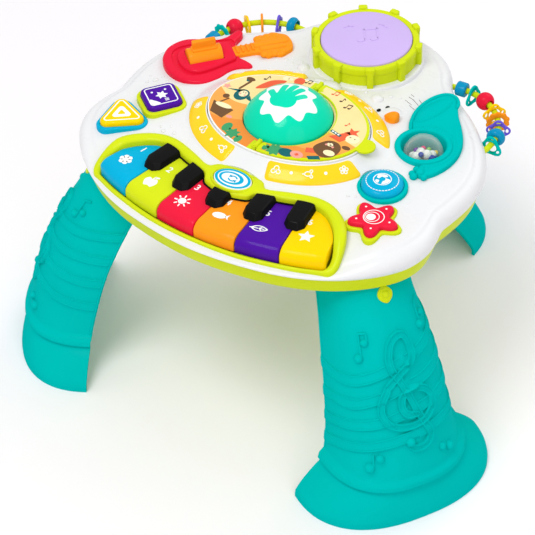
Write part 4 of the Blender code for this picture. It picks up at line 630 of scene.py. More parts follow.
def build_shell():
    angles = [1.25 * i for i in range(288)]
    table = [(i, *row) for i, row in enumerate(SHELL_PROFILE)]
    rings = [shell_row(*from_table(table, i / 3), angles) for i in range(3 * (len(table) - 1) + 1)]
    for share in (0.25, 0.55, 0.85, 1.0):
        ring = []
        for angle in angles:
            foot, inner = ring_radii(angle)
            level = RING_FOOT[2] + (RING_INNER[2] - RING_FOOT[2]) * share
            ring.append(polar(angle, foot + (inner - foot) * share, level))
        rings.append(ring)
    rings.append([polar(angle, ring_radii(angle)[1] - 0.1, RING_INNER[2] - 5) for angle in angles])
    low, high = 225, 275
    holes = {name: plate(turned(outline(2.5), turn, (x, y)), low, high)
             for name, (x, y, _, turn, outline) in BUTTONS.items()}
    star_hole = holes.pop("star")
    tools = together(plate(grown(bezel_outer, -1.5), low, high), plate(oval(49, place=DRUM), low, 290),
                     plate(oval(25.5, place=WELL), low, high), plate(grown(guitar_body, -2), low, high),
                     *holes.values())
    shell = worked(skin(rings, ends=(False, False)), wall(WALL), boolean(tools), boolean(star_hole))
    pedestal = spun([(49, 243), (56.5, 243), (55.6, 250), (54.8, 256.2), (54.0, 257.0), (52.5, 257.3), (49, 257.3)],
                    72, closed=True)
    bubbles = [ball(radius, (x, y, shell_z(x, y)), (1, 1, 0.55), 14) for x, y, radius in BUBBLES]
    bubbles += [ball(radius, (x, y, shell_z(x, y) + rise), (1, 1, 0.6), 24) for x, y, radius, rise in LUMPS]
    piece("shell", together(shell, (pedestal, shift(*DRUM)), *bubbles), white,
          "table", "white", "top_shell", sharp=38)


# X, Y and radius of each bubble dot
BUBBLES = (
    (-150, -2, 3.0), (-143, -7, 2.2), (-155, -8, 2.0), (-147, 6, 1.8), (-139, 2, 1.6), (-158, 1, 1.5),
    (-96, -62, 2.4), (-90, -66, 1.8), (-101, -58, 1.7), (-85, -60, 2.0), (-93, -54, 1.4),
    (-62, 88, 2.2), (-54, 86, 1.8), (-70, 84, 1.6), (-58, 94, 1.5), (-47, 92, 2.0),
    (96, -50, 1.6), (102, -47, 1.3), (52, 92, 2.0), (60, 96, 1.6), (30, 84, 1.7),
)
# X, Y, radius and height of the centre over the skin
LUMPS = (
    (-40, 85, 6.5, -1.0), (44, 81, 6.5, -1.0), (66, 70, 14, -6.5),
    (-6, -64, 20, -18.2), (8, -65, 16, -14.5), (-18, -62, 12, -10.6), (0, 67, 13, -6.6), (-12, 70, 9, -4.6),
)


def tray_ring(inset, z, share=1.0, taper=1.0):
    """A level outline of the tray, moved in from the shell's seam."""
    return [polar(1.5 * i, (seam_radius(1.5 * i) - inset - 3 * taper) * share, z) for i in range(240)]


def build_tray():
    rings = [tray_ring(4.5, 230, taper=0), tray_ring(1, 230.7, taper=0), tray_ring(1, 228, taper=0.15),
             tray_ring(1, 219, taper=0.7), tray_ring(1, 216.4), tray_ring(1.35, 215.1), tray_ring(2.2, 214.3),
             tray_ring(3.4, 214), tray_ring(4, 214, 0.6), tray_ring(4, 214, 0.1)]
    tray = worked(skin(rings, ends=(False, True)), wall(WALL))
    grille = [plate(oval(1.5, steps=12, place=spot), 208, 222)
              for ring in range(1, 4) for spot in oval(5.8 * ring, steps=6 * ring, place=(-70, 35))]
    door = []
    for x, y, start in ((1, 1, 0), (-1, 1, 90), (-1, -1, 180), (1, -1, 270)):
        door += arc((37.4 * x, 23.4 * y - 40), (5, 5), start, start + 90, 6)
    switch = brick((14.6, 5.6, 12), (65, -40, 215))
    tray = cut(tray, together(*grille, plate(door, 208, 216.1), switch))
    piece("tray", tray, lime, "table", "lime", "base_tray", sharp=38)


build_shell()
build_tray()


# ---------------------------------------------------------------- legs

LEG_ANGLES = {"front_right": -30, "front_left": 210, "back": 90}
# Height, reach of the free edge, half width, reach of the outer face
LEG_FOOT = ((0, 194.5, 96.0, 270.0), (4, 194.5, 96.0, 270.0), (14.5, 193.9, 89.0, 267.8),
            (24.4, 193.1, 79.2, 264.8), (31.5, 192.2, 70.2, 261.9), (34, 192.0, 67.0, 261.0))
LEG_SHIN = ((34, 192.0, 66.0, 260.6), (47.5, 189.5, 61.8, 259.2), (70.1, 183.9, 57.2, 251.6),
            (94.9, 177.1, 54.5, 243.3), (119.8, 168.8, 51.8, 233.3), (140.1, 160.1, 49.4, 223.8),
            (162.7, 149.3, 45.6, 212.5), (185.3, 137.4, 41.9, 198.7), (203.4, 129.6, 40.2, 187.4),
            (213.6, 125.6, 38.9, 180.4), (226, 124.2, 38.3, 178.7))
# Share across the face, then the middle height of each raised band there
LEG_BANDS = ((-1, 129, 104, 80, 59), (-0.85, 130.5, 108.5, 86, 65.5), (-0.6, 134.5, 114, 94.5, 74),
             (-0.3, 143.5, 124, 102.5, 82), (0, 152, 131, 109, 87), (0.35, 157, 134, 111.5, 88),
             (0.6, 157.5, 134, 109, 83), (1, 158.5, 132, 105.5, 78.5))
BAND_HALF = 4.6
FOOT_TOP = 34
LEG_WALL = 3.0
# The smooth curve of the foot stays inside the CAD's box
FOOT_HALF_LIMIT, FOOT_REACH_LIMIT = 94.5, 270.0


def leg_row(z):
    """Edge reach, half width and outer reach at a height, with the collar's swell."""
    if z <= FOOT_TOP:
        edge, half, reach = from_table(LEG_FOOT, z)
        return edge, min(half, FOOT_HALF_LIMIT), min(reach, FOOT_REACH_LIMIT)
    edge, half, reach = from_table(LEG_SHIN, z)
    swell = 3.8 * smooth_step(z, FOOT_TOP, 37) * (1 - smooth_step(z, 42, 46.5))
    return edge, half + swell, reach + swell


def leg_band(z, share):
    """Rise of the bands, which sweep up round the leg."""
    return sum(1.5 * (1 - smooth_step(abs(z - middle), BAND_HALF - 0.9, BAND_HALF + 0.7))
               for middle in from_table(LEG_BANDS, share))


def leg_point(z, share, lift=0.0):
    """A place on the leg's outer face: share runs from -1 to 1 across it."""
    edge, half, reach = leg_row(z)
    angle = math.radians(90 * share)
    power = 2 / 2.4
    out = abs(math.cos(angle)) ** power if abs(share) < 0.999 else 0
    side = math.copysign(abs(math.sin(angle)) ** power, angle)
    rise = lift + leg_band(z, share)
    return Vector((edge + (reach - edge + rise) * out, (half + rise * 0.6) * side, z))


def relief(path, width, lift=0.1):
    """A raised line on the leg's face along (height, share) places."""
    points = [leg_point(z, share, lift) for z, share in path]
    return pipe(points, width, 8)


# The clef as one stroke of (height, share) places, from its lower curl
CLEF = (
    (79, -0.06), (73, 0.00), (74, 0.08), (82, 0.13), (96, 0.08), (109, 0.03), (122, 0.0), (133, -0.03),
    (141, -0.07), (149, -0.11), (158, -0.115), (168, -0.07), (173, 0.01), (171, 0.07), (163, 0.10), (154, 0.09),
    (146, 0.02), (140, -0.07), (132, -0.18), (122, -0.26), (111, -0.28), (102, -0.22), (97, -0.12), (95.5, 0.0),
    (98, 0.11), (105, 0.20), (115, 0.22), (124, 0.14), (127, 0.03), (123, -0.05), (114, -0.07), (107.5, -0.03),
    (106, 0.04),
)
# Cross-section of the clef's stroke, in shares of its width and height
STROKE = ((-1, -1.2), (-1, 0.6), (-0.86, 1.0), (-0.60, 0.95), (-0.45, 0.5), (0, 0.42), (0.45, 0.5), (0.60, 0.95),
          (0.86, 1.0), (1, 0.6), (1, -1.2))


def ribbon(path, width, height):
    """A flat raised stroke with a lip along both its edges."""
    rows = []
    for index, (z, share) in enumerate(path):
        before, after = path[max(0, index - 1)], path[min(len(path) - 1, index + 1)]
        along = (leg_point(*after) - leg_point(*before)).normalized()
        out = (leg_point(z, share + 0.01) - leg_point(z, share - 0.01)).cross(
            leg_point(z + 1, share) - leg_point(z - 1, share)).normalized()
        across = along.cross(out).normalized()
        here = leg_point(z, share, 0.5 * index / len(path))
        narrow = width * min(1, 0.55 + 0.15 * min(index, len(path) - 1 - index))
        rows.append([here + across * narrow * a + out * height * b for a, b in STROKE])
    return skin(rows)


def note_head(z, share, radius):
    return ball(radius, leg_point(z, share, 0.3), steps=18)


# Height, share and radius of each note's head, then the paths of the stems and their flags
NOTE_HEADS = ((156, -0.47, 4.4), (170, -0.37, 3.8), (170, 0.36, 4.0), (175, 0.47, 3.6), (58, -0.46, 5.0),
              (68, -0.35, 4.2), (57, 0.34, 4.6), (62, 0.24, 3.8))
STEMS = ([(156 + 2 * i, -0.435) for i in range(11)], [(176 + 0.3 * i, -0.435 + 0.02 * i) for i in range(6)],
         [(170 + 1.2 * i, -0.335) for i in range(7)], [(170 + 1.8 * i, 0.395) for i in range(10)],
         [(186 + 0.4 * i, 0.395 + 0.02 * i) for i in range(6)], [(60 + 1.2 * i, -0.42) for i in range(10)])


def build_leg(place, angle):
    heights = [0, 2, 4, 8, 12, 16, 20, 24, 28, 31, 33, 34, 34.8, 35.8, 37, 38.5, 40, 41.5, 43, 44.5, 46, 47.5]
    heights += [48.5 + i for i in range(127)] + [177 + 2.5 * i for i in range(20)]
    shares = [math.copysign(abs(s) ** 0.75, s) for s in (-1 + 2 * i / 80 for i in range(81))]
    leg = skin([[leg_point(z, share) for share in shares] for z in heights], looped=False)
    for face in leg.faces:
        face.normal_update()
    middle = max(leg.faces, key=lambda f: f.calc_center_median().x)
    if middle.normal.x < 0:
        bmesh.ops.reverse_faces(leg, faces=leg.faces)
    leg = worked(leg, wall(LEG_WALL), keep_normals=True)
    lines = [ribbon(open_curve(CLEF, 5), 3.7, 2.6), note_head(80.5, -0.04, 4.6)]
    for side in (-1, 1):
        lines.append(relief([(z, side * 0.992) for z in spaced(47.5, 224, 60)], 1.1))
        for band in range(4):
            for edge in (-1, 1):
                path = [(from_table(LEG_BANDS, share)[band] + edge * (BAND_HALF - 0.5), share)
                        for share in spaced(*sorted((side * 0.985, side * 0.02)), 40)]
                lines.append(relief(path, 0.85, 0.0))
    lines += [note_head(*head) for head in NOTE_HEADS] + [relief(path, 1.3, 0.3) for path in STEMS]
    turn = rotation(angle)
    piece(f"leg_{place}_shell", together((leg, turn), *((line, turn) for line in lines)), teal, "table",
          "teal", f"leg_{place}", sharp=50)


LATCH_Z, LATCH_HALF = 205, 6.8


def build_latch(place, angle):
    low, high = (leg_row(LATCH_Z + side * LATCH_HALF)[2] for side in (-1, 1))
    tilt = 90 - math.degrees(math.atan((low - high) / (2 * LATCH_HALF)))
    on_leg = rotation(angle) @ shift((low + high) / 2, 0, LATCH_Z) @ rotation(tilt, "Y")
    lens = smooth_shape([(-8.4, 0), (-5.8, 3.8), (-1.6, 6.9), (3.0, 6.4), (6.6, 3.4), (8.2, 0), (6.6, -3.4),
                         (3.0, -6.4), (-1.6, -6.9), (-5.8, -3.8)])
    latch = together(plate(lens, -5, 1.5, 0.9), plate(grown(lens, -1.6), 1.2, 2.0, 0.4),
                     spun([(0, 3.6), (1.6, 3.5), (2.9, 2.9), (3.6, 1.9), (3.8, 0.5), (0, 0.5)], 28),
                     plate([(-6.4, -0.7), (-4.2, -0.7), (-4.2, 0.7), (-6.4, 0.7)], 1.6, 2.5, 0.2))
    piece(f"latch_{place}", together((latch, on_leg)), lime, f"latch_{place}", "lime", f"leg_latch_{place}")


for leg_place, leg_angle in LEG_ANGLES.items():
    build_leg(leg_place, leg_angle)
    build_latch(leg_place, leg_angle)


# ---------------------------------------------------------------- piano

# The keys fan out from a point behind the table: its Y, the first edge's angle, a key's angle, the back's radius
KEY_FAN_Y, FAN_LEFT, FAN_STEP, FAN_BACK = 310, -15.6, 5.2, 376
MODE = (0, -88.5)
KEY_COLOURS = (("blue", blue), ("lime", lime), ("red", red), ("orange", orange), ("purple", purple),
               ("yellow", yellow))


def bezel_height(y):
    return 238.5 + 20 * smooth_step(y, -132.1, -93.9)


def build_bezel():
    rings = []
    # Share of the way inwards and how far the rim lies below its crest there, or None for its foot
    for share, drop in ((0, None), (0, 2.6), (0.03, 1.5), (0.09, 0.7), (0.18, 0.1), (0.32, -0.6), (0.5, -0.95),
                        (0.68, -0.6), (0.82, 0.1), (0.91, 0.7), (0.97, 1.5), (1, 2.6), (1, None)):
        ring = []
        for (ox, oy), (ix, iy) in zip(bezel_outer, bezel_inner):
            factor = min(1, math.hypot(ox - ix, oy - iy) / 9)
            level = 232 if drop is None else bezel_height(oy * 0.5 + iy * 0.5) - drop * factor
            ring.append((ox + (ix - ox) * share, oy + (iy - oy) * share, level))
        rings.append(ring)
    bezel = cut(skin(rings, around=True), plate(oval(20.6, 14.5, place=MODE), 249, 270))
    floor = plate(grown(bezel_inner, 1), 231.6, 233)
    mount = spun([(19.2, 250), (21.6, 252), (22.4, 256.5), (22.0, 258.4), (20.9, 259.4), (19.8, 259.5),
                  (19.2, 258.9)], 64, closed=True)
    mount = (mount, shift(*MODE) @ Matrix.Diagonal((1, 0.7, 1, 1)))
    pad = plate(oval(20.2, 14.2, place=MODE), 248, 250.9)
    piece("bezel", together(bezel, floor, mount, pad), lime, "table", "lime", "piano_bezel", sharp=40)


def fan(angle, radius, z):
    """A place in the keys' fan."""
    return (radius * math.sin(math.radians(angle)), KEY_FAN_Y - radius * math.cos(math.radians(angle)), z)


def front_radius(angle, front, curve):
    """Fan radius of a curved front row, from the Y of its middle and the radius of its curve."""
    behind = KEY_FAN_Y - (front + curve)
    c = math.cos(math.radians(angle))
    return behind * c + math.sqrt(curve ** 2 - behind ** 2 * (1 - c * c))


def key_section(angle, drop):
    """Side view of a key along one ray. The drop lowers its edges beside the next key."""
    front = front_radius(angle, -150.5, 311) - drop * 0.8
    top = 252 - drop
    points = [fan(angle, FAN_BACK, 240.5), fan(angle, FAN_BACK, top)]
    points += [fan(angle, radius, z) for radius, z in arc((front - 10, top - 8), (10, 8), 90, 0, 10)]
    points += [fan(angle, front, 237.4), fan(angle, front - 3, 237.4), fan(angle, front - 3, 240.5)]
    return points


def key_well():
    """The space inside the bezel that keys may fill."""
    return plate(grown(bezel_inner, -0.5), 233.5, 275)


def build_keys():
    # Half the gap between keys and 1 mm along the fan, both in degrees, and the radius of a key's long edges
    half_gap, unit, edge = math.degrees(0.25 / 460), math.degrees(1 / 420), 1.5
    for index, (slot, paint) in enumerate(KEY_COLOURS):
        start, end = FAN_LEFT + FAN_STEP * index + half_gap, FAN_LEFT + FAN_STEP * (index + 1) - half_gap
        rounding = [(start + offset * unit, edge - math.sqrt(max(0, edge ** 2 - (edge - offset) ** 2)))
                    for offset in (0, 0.15, 0.45, 0.9, edge)]
        sections = rounding + [(start + (end - start) * share, 0) for share in (0.35, 0.65)]
        sections += [(end - (a - start), drop) for a, drop in reversed(rounding)]
        key = common(skin([key_section(a, drop) for a, drop in sections]), key_well())
        piece(f"key_{index + 1}_cover", key, paint, f"key_{index + 1}", slot, f"piano_key_{index + 1}")


def build_black_keys():
    keys = []
    for index in range(1, 6):
        angle = FAN_LEFT + FAN_STEP * index
        front = front_radius(angle, -123.5, 250)
        turn = math.radians(angle)
        rings = []
        for z, half, setback in ((252.4, 9.8, 0), (258.9, 8.2, 3.6)):
            end = front - setback
            outline = [(FAN_BACK, -half), (end - 6, -half), (end, -half / 2), (end, half / 2), (end - 6, half),
                       (FAN_BACK, half)]
            rings.append([(radius * math.sin(turn) + side * math.cos(turn),
                           KEY_FAN_Y - radius * math.cos(turn) + side * math.sin(turn), z)
                          for radius, side in outline])
        block = skin(rings)
        bevelled(block, [e for e in block.edges if max(v.co.z for v in e.verts) > 258], 1.1, 3)
        keys.append(block)
    strip = cut(plate(grown(bezel_inner, -0.5), 252.4, 253.4), plate(grown(bezel_inner, -1.8), 250, 256))
    behind = [fan(a, FAN_BACK, 0)[:2] for a in range(-11, 12)] + [fan(a, 440, 0)[:2] for a in range(11, -12, -1)]
    strip = common(strip, plate(behind, 250, 256))
    keys = common(together(*keys), key_well())
    piece("black_key_set", together(keys, strip), black, "table", "black", "black_keys", sharp=30)


def number_at(digit, size, place, turn):
    """A printed figure as a thin plate."""
    curve = bpy.data.curves.new("figure", "FONT")
    curve.body = digit
    curve.size = size
    curve.align_x, curve.align_y = "CENTER", "CENTER"
    curve.extrude = FIGURE_HEIGHT / 2
    curve.offset = size * 0.012
    curve.resolution_u = 6
    obj = bpy.data.objects.new("figure", curve)
    bpy.context.scene.collection.objects.link(obj)
    bm = evaluated(obj)
    bpy.data.objects.remove(obj)
    bpy.data.curves.remove(curve)
    bmesh.ops.transform(bm, matrix=shift(*place) @ rotation(turn), verts=bm.verts)
    return bm


def flat(outline, level=0.0, height=0.3):
    return plate(outline, level, level + height)


def ring_flat(outer, inner, level=0.0, height=0.3):
    """A flat band between two closed outlines."""
    bm = bmesh.new()
    for outline in (outer, inner):
        verts = [bm.verts.new((x, y, level)) for x, y in outline]
        for pair in zip(verts, verts[1:] + verts[:1]):
            bm.edges.new(pair)
    bmesh.ops.triangle_fill(bm, use_beauty=True, edges=bm.edges[:])
    raise_faces(bm, bm.faces[:], height)
    return bm


def hoop(outer, inner, steps, place=(0, 0), height=0.3):
    """A flat round band."""
    return ring_flat(*(oval(radius, steps=steps, place=place) for radius in (outer, inner)), height=height)


def moved(points, x, y, scale=1.0):
    return [(px * scale + x, py * scale + y) for px, py in points]


def flower(size):
    petals = [flat(oval(size * 0.33, steps=20, place=spot)) for spot in oval(size * 0.52, steps=6)]
    return petals + [flat(oval(size * 0.34, steps=20), 0.02)]


def sun(size):
    rays = [flat(turned(capsule((size * 0.68, 0), (size * 0.95, 0), size * 0.09), 45 * i)) for i in range(8)]
    return rays + [flat(oval(size * 0.5, steps=28))]


def leaf(size):
    blade = [(-1, 0), (-0.4, 0.45), (0.35, 0.42), (1, 0), (0.35, -0.42), (-0.4, -0.45)]
    blade = smooth_shape(moved(blade, 0, 0, size))
    stalk = capsule((-size * 1.15, 0), (size * 0.55, 0), size * 0.06)
    veins = [flat(capsule((-0.1 * size, 0), (0.25 * size, side * 0.26 * size), size * 0.05), 0.04)
             for side in (1, -1)]
    return [ring_flat(blade, moved(blade, 0, 0, 0.78)), flat(stalk, 0.02), *veins]


def apple(size):
    body = smooth_shape(moved([(0, 0.55), (0.5, 0.72), (0.86, 0.15), (0.5, -0.72), (0, -0.6), (-0.5, -0.72),
                               (-0.86, 0.15), (-0.5, 0.72)], 0, 0, size))
    return [flat(body), flat(capsule((0, size * 0.6), (size * 0.14, size * 1.05), size * 0.08)),
            flat(capsule((size * 0.24, size * 0.92), (size * 0.55, size * 1.05), size * 0.13))]


def fish(size):
    tail = moved([(0.6, 0), (1.1, -0.45), (0.98, 0), (1.1, 0.45)], 0, 0, size)
    return [flat(oval(size * 0.85, size * 0.5, 32, (-size * 0.1, 0))), flat(tail)]


def star(size):
    return [flat(star_outline(size, 5, 0.48))]


KEY_ICONS = ((flower, -102.1, -111.1), (apple, -64.6, -124.6), (sun, -25.2, -130.3), (fish, 14.2, -128.4),
             (leaf, 52.8, -124.2), (star, 92.5, -111.3))
FIGURE_HEIGHT = 0.35
KEY_NUMBERS = ((-96.8, -91.6), (-59.6, -102.1), (-24.2, -108.6), (10.8, -110.4), (48.0, -103.8), (85.3, -94.0))


def build_key_prints():
    for index, ((shape, x, y), (nx, ny)) in enumerate(zip(KEY_ICONS, KEY_NUMBERS)):
        middle = FAN_LEFT + FAN_STEP * (index + 0.5)
        place = shift(x, y, 251.9) @ rotation(middle + 8)
        icon = together(*((part, place) for part in shape(7.6)))
        number = number_at(str(index + 1), 10, (nx, ny, 252.05), middle)
        piece(f"key_{index + 1}_print", together(icon, number), print_white, f"key_{index + 1}",
              KEY_COLOURS[index][0])


def build_mode_button():
    button = plate(oval(18.7, 12.7, 64), 253.4, 259.4, 1.4, 5)
    at = shift(*MODE)
    piece("mode_cap", together((button, at)), print_white, "mode_cap", "blue", "mode_button")
    arrows = []
    for turn in (0, 180):
        shaft = arc((0, 0), (4.6, 3.9), 20, 140, 12) + arc((0, 0), (3.2, 2.6), 140, 20, 12)
        tip = [(-4.4, 0.4), (-1.4, 1.6), (-4.6, 3.9)]
        arrows += [flat(turned(outline, turn), 259.3) for outline in (shaft, tip)]
    rings = [ring_flat(oval(17.6, 11.8, 64), oval(14.8, 9.6, 64), 259.2, 0.3),
             ring_flat(oval(12.2, 7.8, 64, (-1.5, 0)), oval(9.0, 5.8, 64, (-2.2, 0)), 259.2, 0.3)]
    blues = together(*((part, at) for part in arrows + rings))
    piece("mode_print", blues, blue, "mode_cap", "blue")


build_bezel()
build_keys()
build_black_keys()
build_key_prints()
build_mode_button()


# ---------------------------------------------------------------- picture disc, page, dome and light windows

DISC_TOP, PAGE_LOW, PAGE_TOP = 269.55, 269.95, 271.8
HINGE_AWAY = 50
PAGE_HOLE = 43.4
DOME_RADIUS, DOME_RISE, DOME_TOP = 40.7, 24.5, 296.5


def half_ring(half_width, half_depth, hole, edge):
    """Outline of the part of a holed oval that lies beyond a straight edge."""
    start, inner = (math.degrees(math.acos(edge / radius)) for radius in (half_width, hole))
    return arc((0, 0), (half_width, half_depth), -start, start, 80) + arc((0, 0), (hole, hole), inner, -inner, 56)


def picture_paint():
    """A printed scene: pale sky, two rows of orange hills and a white border."""
    paint = Paint("printed_picture", 0.4, Specular_IOR_Level=0.2)
    x, y, _ = paint.axes()
    cloud = paint.noise(40.0, 3.0)
    sky = paint.mix(cloud, (0.90, 0.66, 0.26), (0.93, 0.76, 0.38))
    hill = paint.sum("SINE", x * 0.055 + 0.9) * 8 + paint.sum("SINE", x * 0.13) * 2 + 2
    near = paint.sum("SINE", x * 0.07 + 2.6) * 6 - 27
    scene = paint.mix(paint.step(y, hill, 0.15), paint.mix(cloud, (0.86, 0.34, 0.06), (0.92, 0.42, 0.09)), sky)
    scene = paint.mix(paint.step(y, near, 0.15), paint.mix(cloud, (0.78, 0.24, 0.03), (0.84, 0.29, 0.05)), scene)
    way = paint.sum("SQRT", paint.sum("POWER", x * (1 / 78.9), 2.0) + paint.sum("POWER", y * (1 / 56.3), 2.0))
    paint.colour(paint.mix(paint.step(way, 1.0, 0.002), scene, PAPER))
    paint.feed(paint.shader.inputs["Roughness"], 0.36 + paint.noise(90.0) * 0.1)
    paint.bump(paint.noise(900.0, 2.0), 0.00003, 0.3)
    return paint


picture = picture_paint()
coral = moulded("printed_coral", (0.80, 0.13, 0.06), 0.4, 0.0)
brown = moulded("printed_brown", (0.17, 0.085, 0.04), 0.4, 0.0)
deep = moulded("printed_deep_teal", (0.015, 0.13, 0.14), 0.4, 0.0)
leafy = moulded("printed_green", (0.06, 0.33, 0.14), 0.4, 0.0)
pink = moulded("printed_pink", (0.90, 0.36, 0.30), 0.4, 0.0)
cream = moulded("printed_cream", (0.92, 0.80, 0.50), 0.4, 0.0)


def note(x, y, size, double=True):
    """A plain musical note with its flag, or two joined by a beam."""
    head = turned(oval(0.36, 0.26, 16), 20)
    shapes = [head, capsule((0.33, 0), (0.33, 1.5), 0.07)]
    if double:
        shapes += [moved(head, 1.1, 0.15), capsule((1.43, 0.15), (1.43, 1.65), 0.07),
                   capsule((0.33, 1.5), (1.43, 1.65), 0.14)]
    else:
        shapes.append(capsule((0.33, 1.5), (0.83, 1), 0.1))
    return [moved(shape, x, y, size) for shape in shapes]


def prints(name, level, body, *groups):
    for index, (paint, shapes) in enumerate(groups):
        sheet = together(*(flat(shape, level, 0.08 + 0.03 * index) for shape in shapes))
        piece(f"{name}_{index + 1}", sheet, paint, body, "picture")


def build_disc():
    disc = cut(plate(oval(80.0, 57.4, 144), 262.1, DISC_TOP, 0.5, 3), plate(oval(41.6, steps=96), 255, 275))
    piece("picture_disc", disc, picture, "table", "picture", "disc_base")
    ears = []
    for side in (-1, 1):
        ears += [brick((3.6, 1.4, 5.3), (0, side * HINGE_AWAY + end * 5.5, 271.25), 0.35) for end in (-1, 1)]
        ears.append(brick((9, 12.6, 0.5), (-3.0, side * HINGE_AWAY, 269.7), 0.2))
    piece("hinge_ears", together(*ears), lime, "table", "lime")
    prints("disc_print", 269.5, "table",
           (leafy, [star_outline(8, 7, 0.62, -30, -46), oval(4.4, 6.5, 24, (-39, -41)),
                    oval(3.4, 5.2, 24, (-21, -50))]),
           (deep, [oval(7.0, 8.4, 32, (-55, 5)), [(-72, 6), (-56, 13), (-56, 8)],
                   [(-48, 8), (-40, 0), (-48, 2)], oval(2.2, 2.6, 16, (-62, 27))]),
           (coral, [smoothed([(-50, 20), (-37, 30), (-31, 44), (-44, 37)], 5), oval(5.0, 5.6, 28, (-21, 50)),
                    [(-23, 44), (-19, 44), (-20, 41), (-22, 41)]]),
           (brown, [[(-72, -15), (-48, -18), (-51, -33), (-66, -30)], capsule((-62, 12), (-59, 26), 1.2),
                    oval(4.6, 2.6, 24, (-61, 29)), capsule((-66, -15), (-62, -6), 0.9),
                    oval(3.2, 3.2, 20, (-66, -4))]),
           (cream, [oval(4.2, 4.6, 28, (-54.5, 7)), oval(8.6, 3.2, 28, (-60, -16.8)), oval(3.2, 3.0, 20, (-34, 47)),
                    oval(2.4, 2.2, 20, (-29.5, 48.5))]),
           (pink, [oval(1.1, steps=14, place=(-57, 5.6)), oval(1.1, steps=14, place=(-52, 5.6)),
                   oval(3.2, 2.0, 20, (-46, -28)), star_outline(4.2, 5, 0.5, -74, 9)]),
           (print_dark, [*note(-50, 36, 4.0, False), *note(-15, 51.5, 3.2),
                         capsule((-55.6, 8.6), (-55.4, 9.2), 0.45), capsule((-53.2, 8.6), (-53.0, 9.2), 0.45)]))


def build_page():
    page, tab = (plate(outline, PAGE_LOW, PAGE_TOP, 0.45, 3)
                 for outline in (half_ring(79.2, 56.4, PAGE_HOLE, 3.0), oval(9.5, place=(82, 0))))
    page = worked(page, boolean(tab, "UNION"))
    hinges = []
    for side in (-1, 1):
        barrel = spun([(0, -4.4), (1.8, -4.4), (2.2, -4.0), (2.2, 4.0), (1.8, 4.4), (0, 4.4)], 24)
        hinges += [(barrel, shift(0, side * HINGE_AWAY, 272.1) @ rotation(-90, "X")),
                   brick((5.2, 8.8, 1.9), (2.4, side * HINGE_AWAY, 270.95), 0.3),
                   brick((5.0, 2.0, 1.0), (5.0, side * (HINGE_AWAY - 3.6), 271.9), 0.3)]
    piece("page", together(page, *hinges), lime, "page", "lime", "flip_page")
    sheet = flat(half_ring(76.6, 53.9, 44.5, 6.0), 271.7, 0.16)
    piece("page_picture", sheet, picture, "page", "picture")
    prints("page_print", PAGE_TOP, "page",
           (leafy, [star_outline(8.5, 8, 0.7, 17, -47.5), oval(3.0, 4.2, 20, (8.5, -49)),
                    oval(2.6, 3.6, 20, (64, -27))]),
           (coral, [[(47, -6), (60, 9), (66, 3), (60, -8)], star_outline(7.5, 5, 0.45, 63, 9, 60),
                    [(39, -30), (50, -25), (53, -31), (42, -36)]]),
           (brown, [smooth_shape([(44, -26), (50, -12), (60, -10), (67, -17), (66, -29), (56, -34)], 6),
                    oval(4.2, 2.6, 24, (69.5, -12))]),
           (deep, [oval(7.4, 5.4, 36, (28, -45.5)), [(46, -40), (55, -34), (59, -37.5), (50, -43)],
                   [(44, 1), (45, 4), (57, 1), (56, -2)]]),
           (cream, [oval(5.6, 3.8, 28, (60.5, -26)), oval(6.6, 6.0, 32, (68, 1.5)),
                    oval(3.0, 2.4, 20, (55, -15.5))]),
           (print_white, [[(45.4, 1.5), (46.0, 3.2), (48.2, 2.6), (47.7, 0.9)],
                          [(48.8, 0.7), (49.3, 2.3), (51.5, 1.7), (51.0, 0.1)],
                          [(52.1, 0.0), (52.6, 1.5), (54.8, 0.9), (54.3, -0.7)]]),
           (pink, [oval(6.2, 4.6, 36, (37.5, -43)), oval(1.2, steps=14, place=(52, -17)),
                   oval(1.2, steps=14, place=(59, -17.5))]),
           (coral, [star_outline(2.6, 8, 0.5, 37.5, -43), *note(17, 47.5, 3.4), *note(52, 15, 3.0, False)]),
           (print_dark, [*note(29, 42.5, 3.6, False), *note(37, 36.5, 3.6),
                         capsule((53.6, -13.6), (53.8, -13.0), 0.6),
                         capsule((58.0, -13.9), (58.2, -13.3), 0.6), oval(1.0, 0.8, 14, (55.8, -16)),
                         capsule((64.5, 2.5), (65.4, 2.7), 0.35), capsule((69.2, 2.2), (70.1, 2.4), 0.35)]))


def capsule_mask(paint, x, y, start, end, radius):
    """1 inside a thick line with round ends, drawn in the shader."""
    length = math.dist(start, end)
    ux, uy = (end[0] - start[0]) / length, (end[1] - start[1]) / length
    px, py = x - start[0], y - start[1]
    along = paint.sum("MINIMUM", paint.sum("MAXIMUM", px * ux + py * uy, 0.0), length)
    dx, dy = px - along * ux, py - along * uy
    return 1.0 - paint.step(paint.sum("SQRT", dx * dx + dy * dy), radius, 0.14)


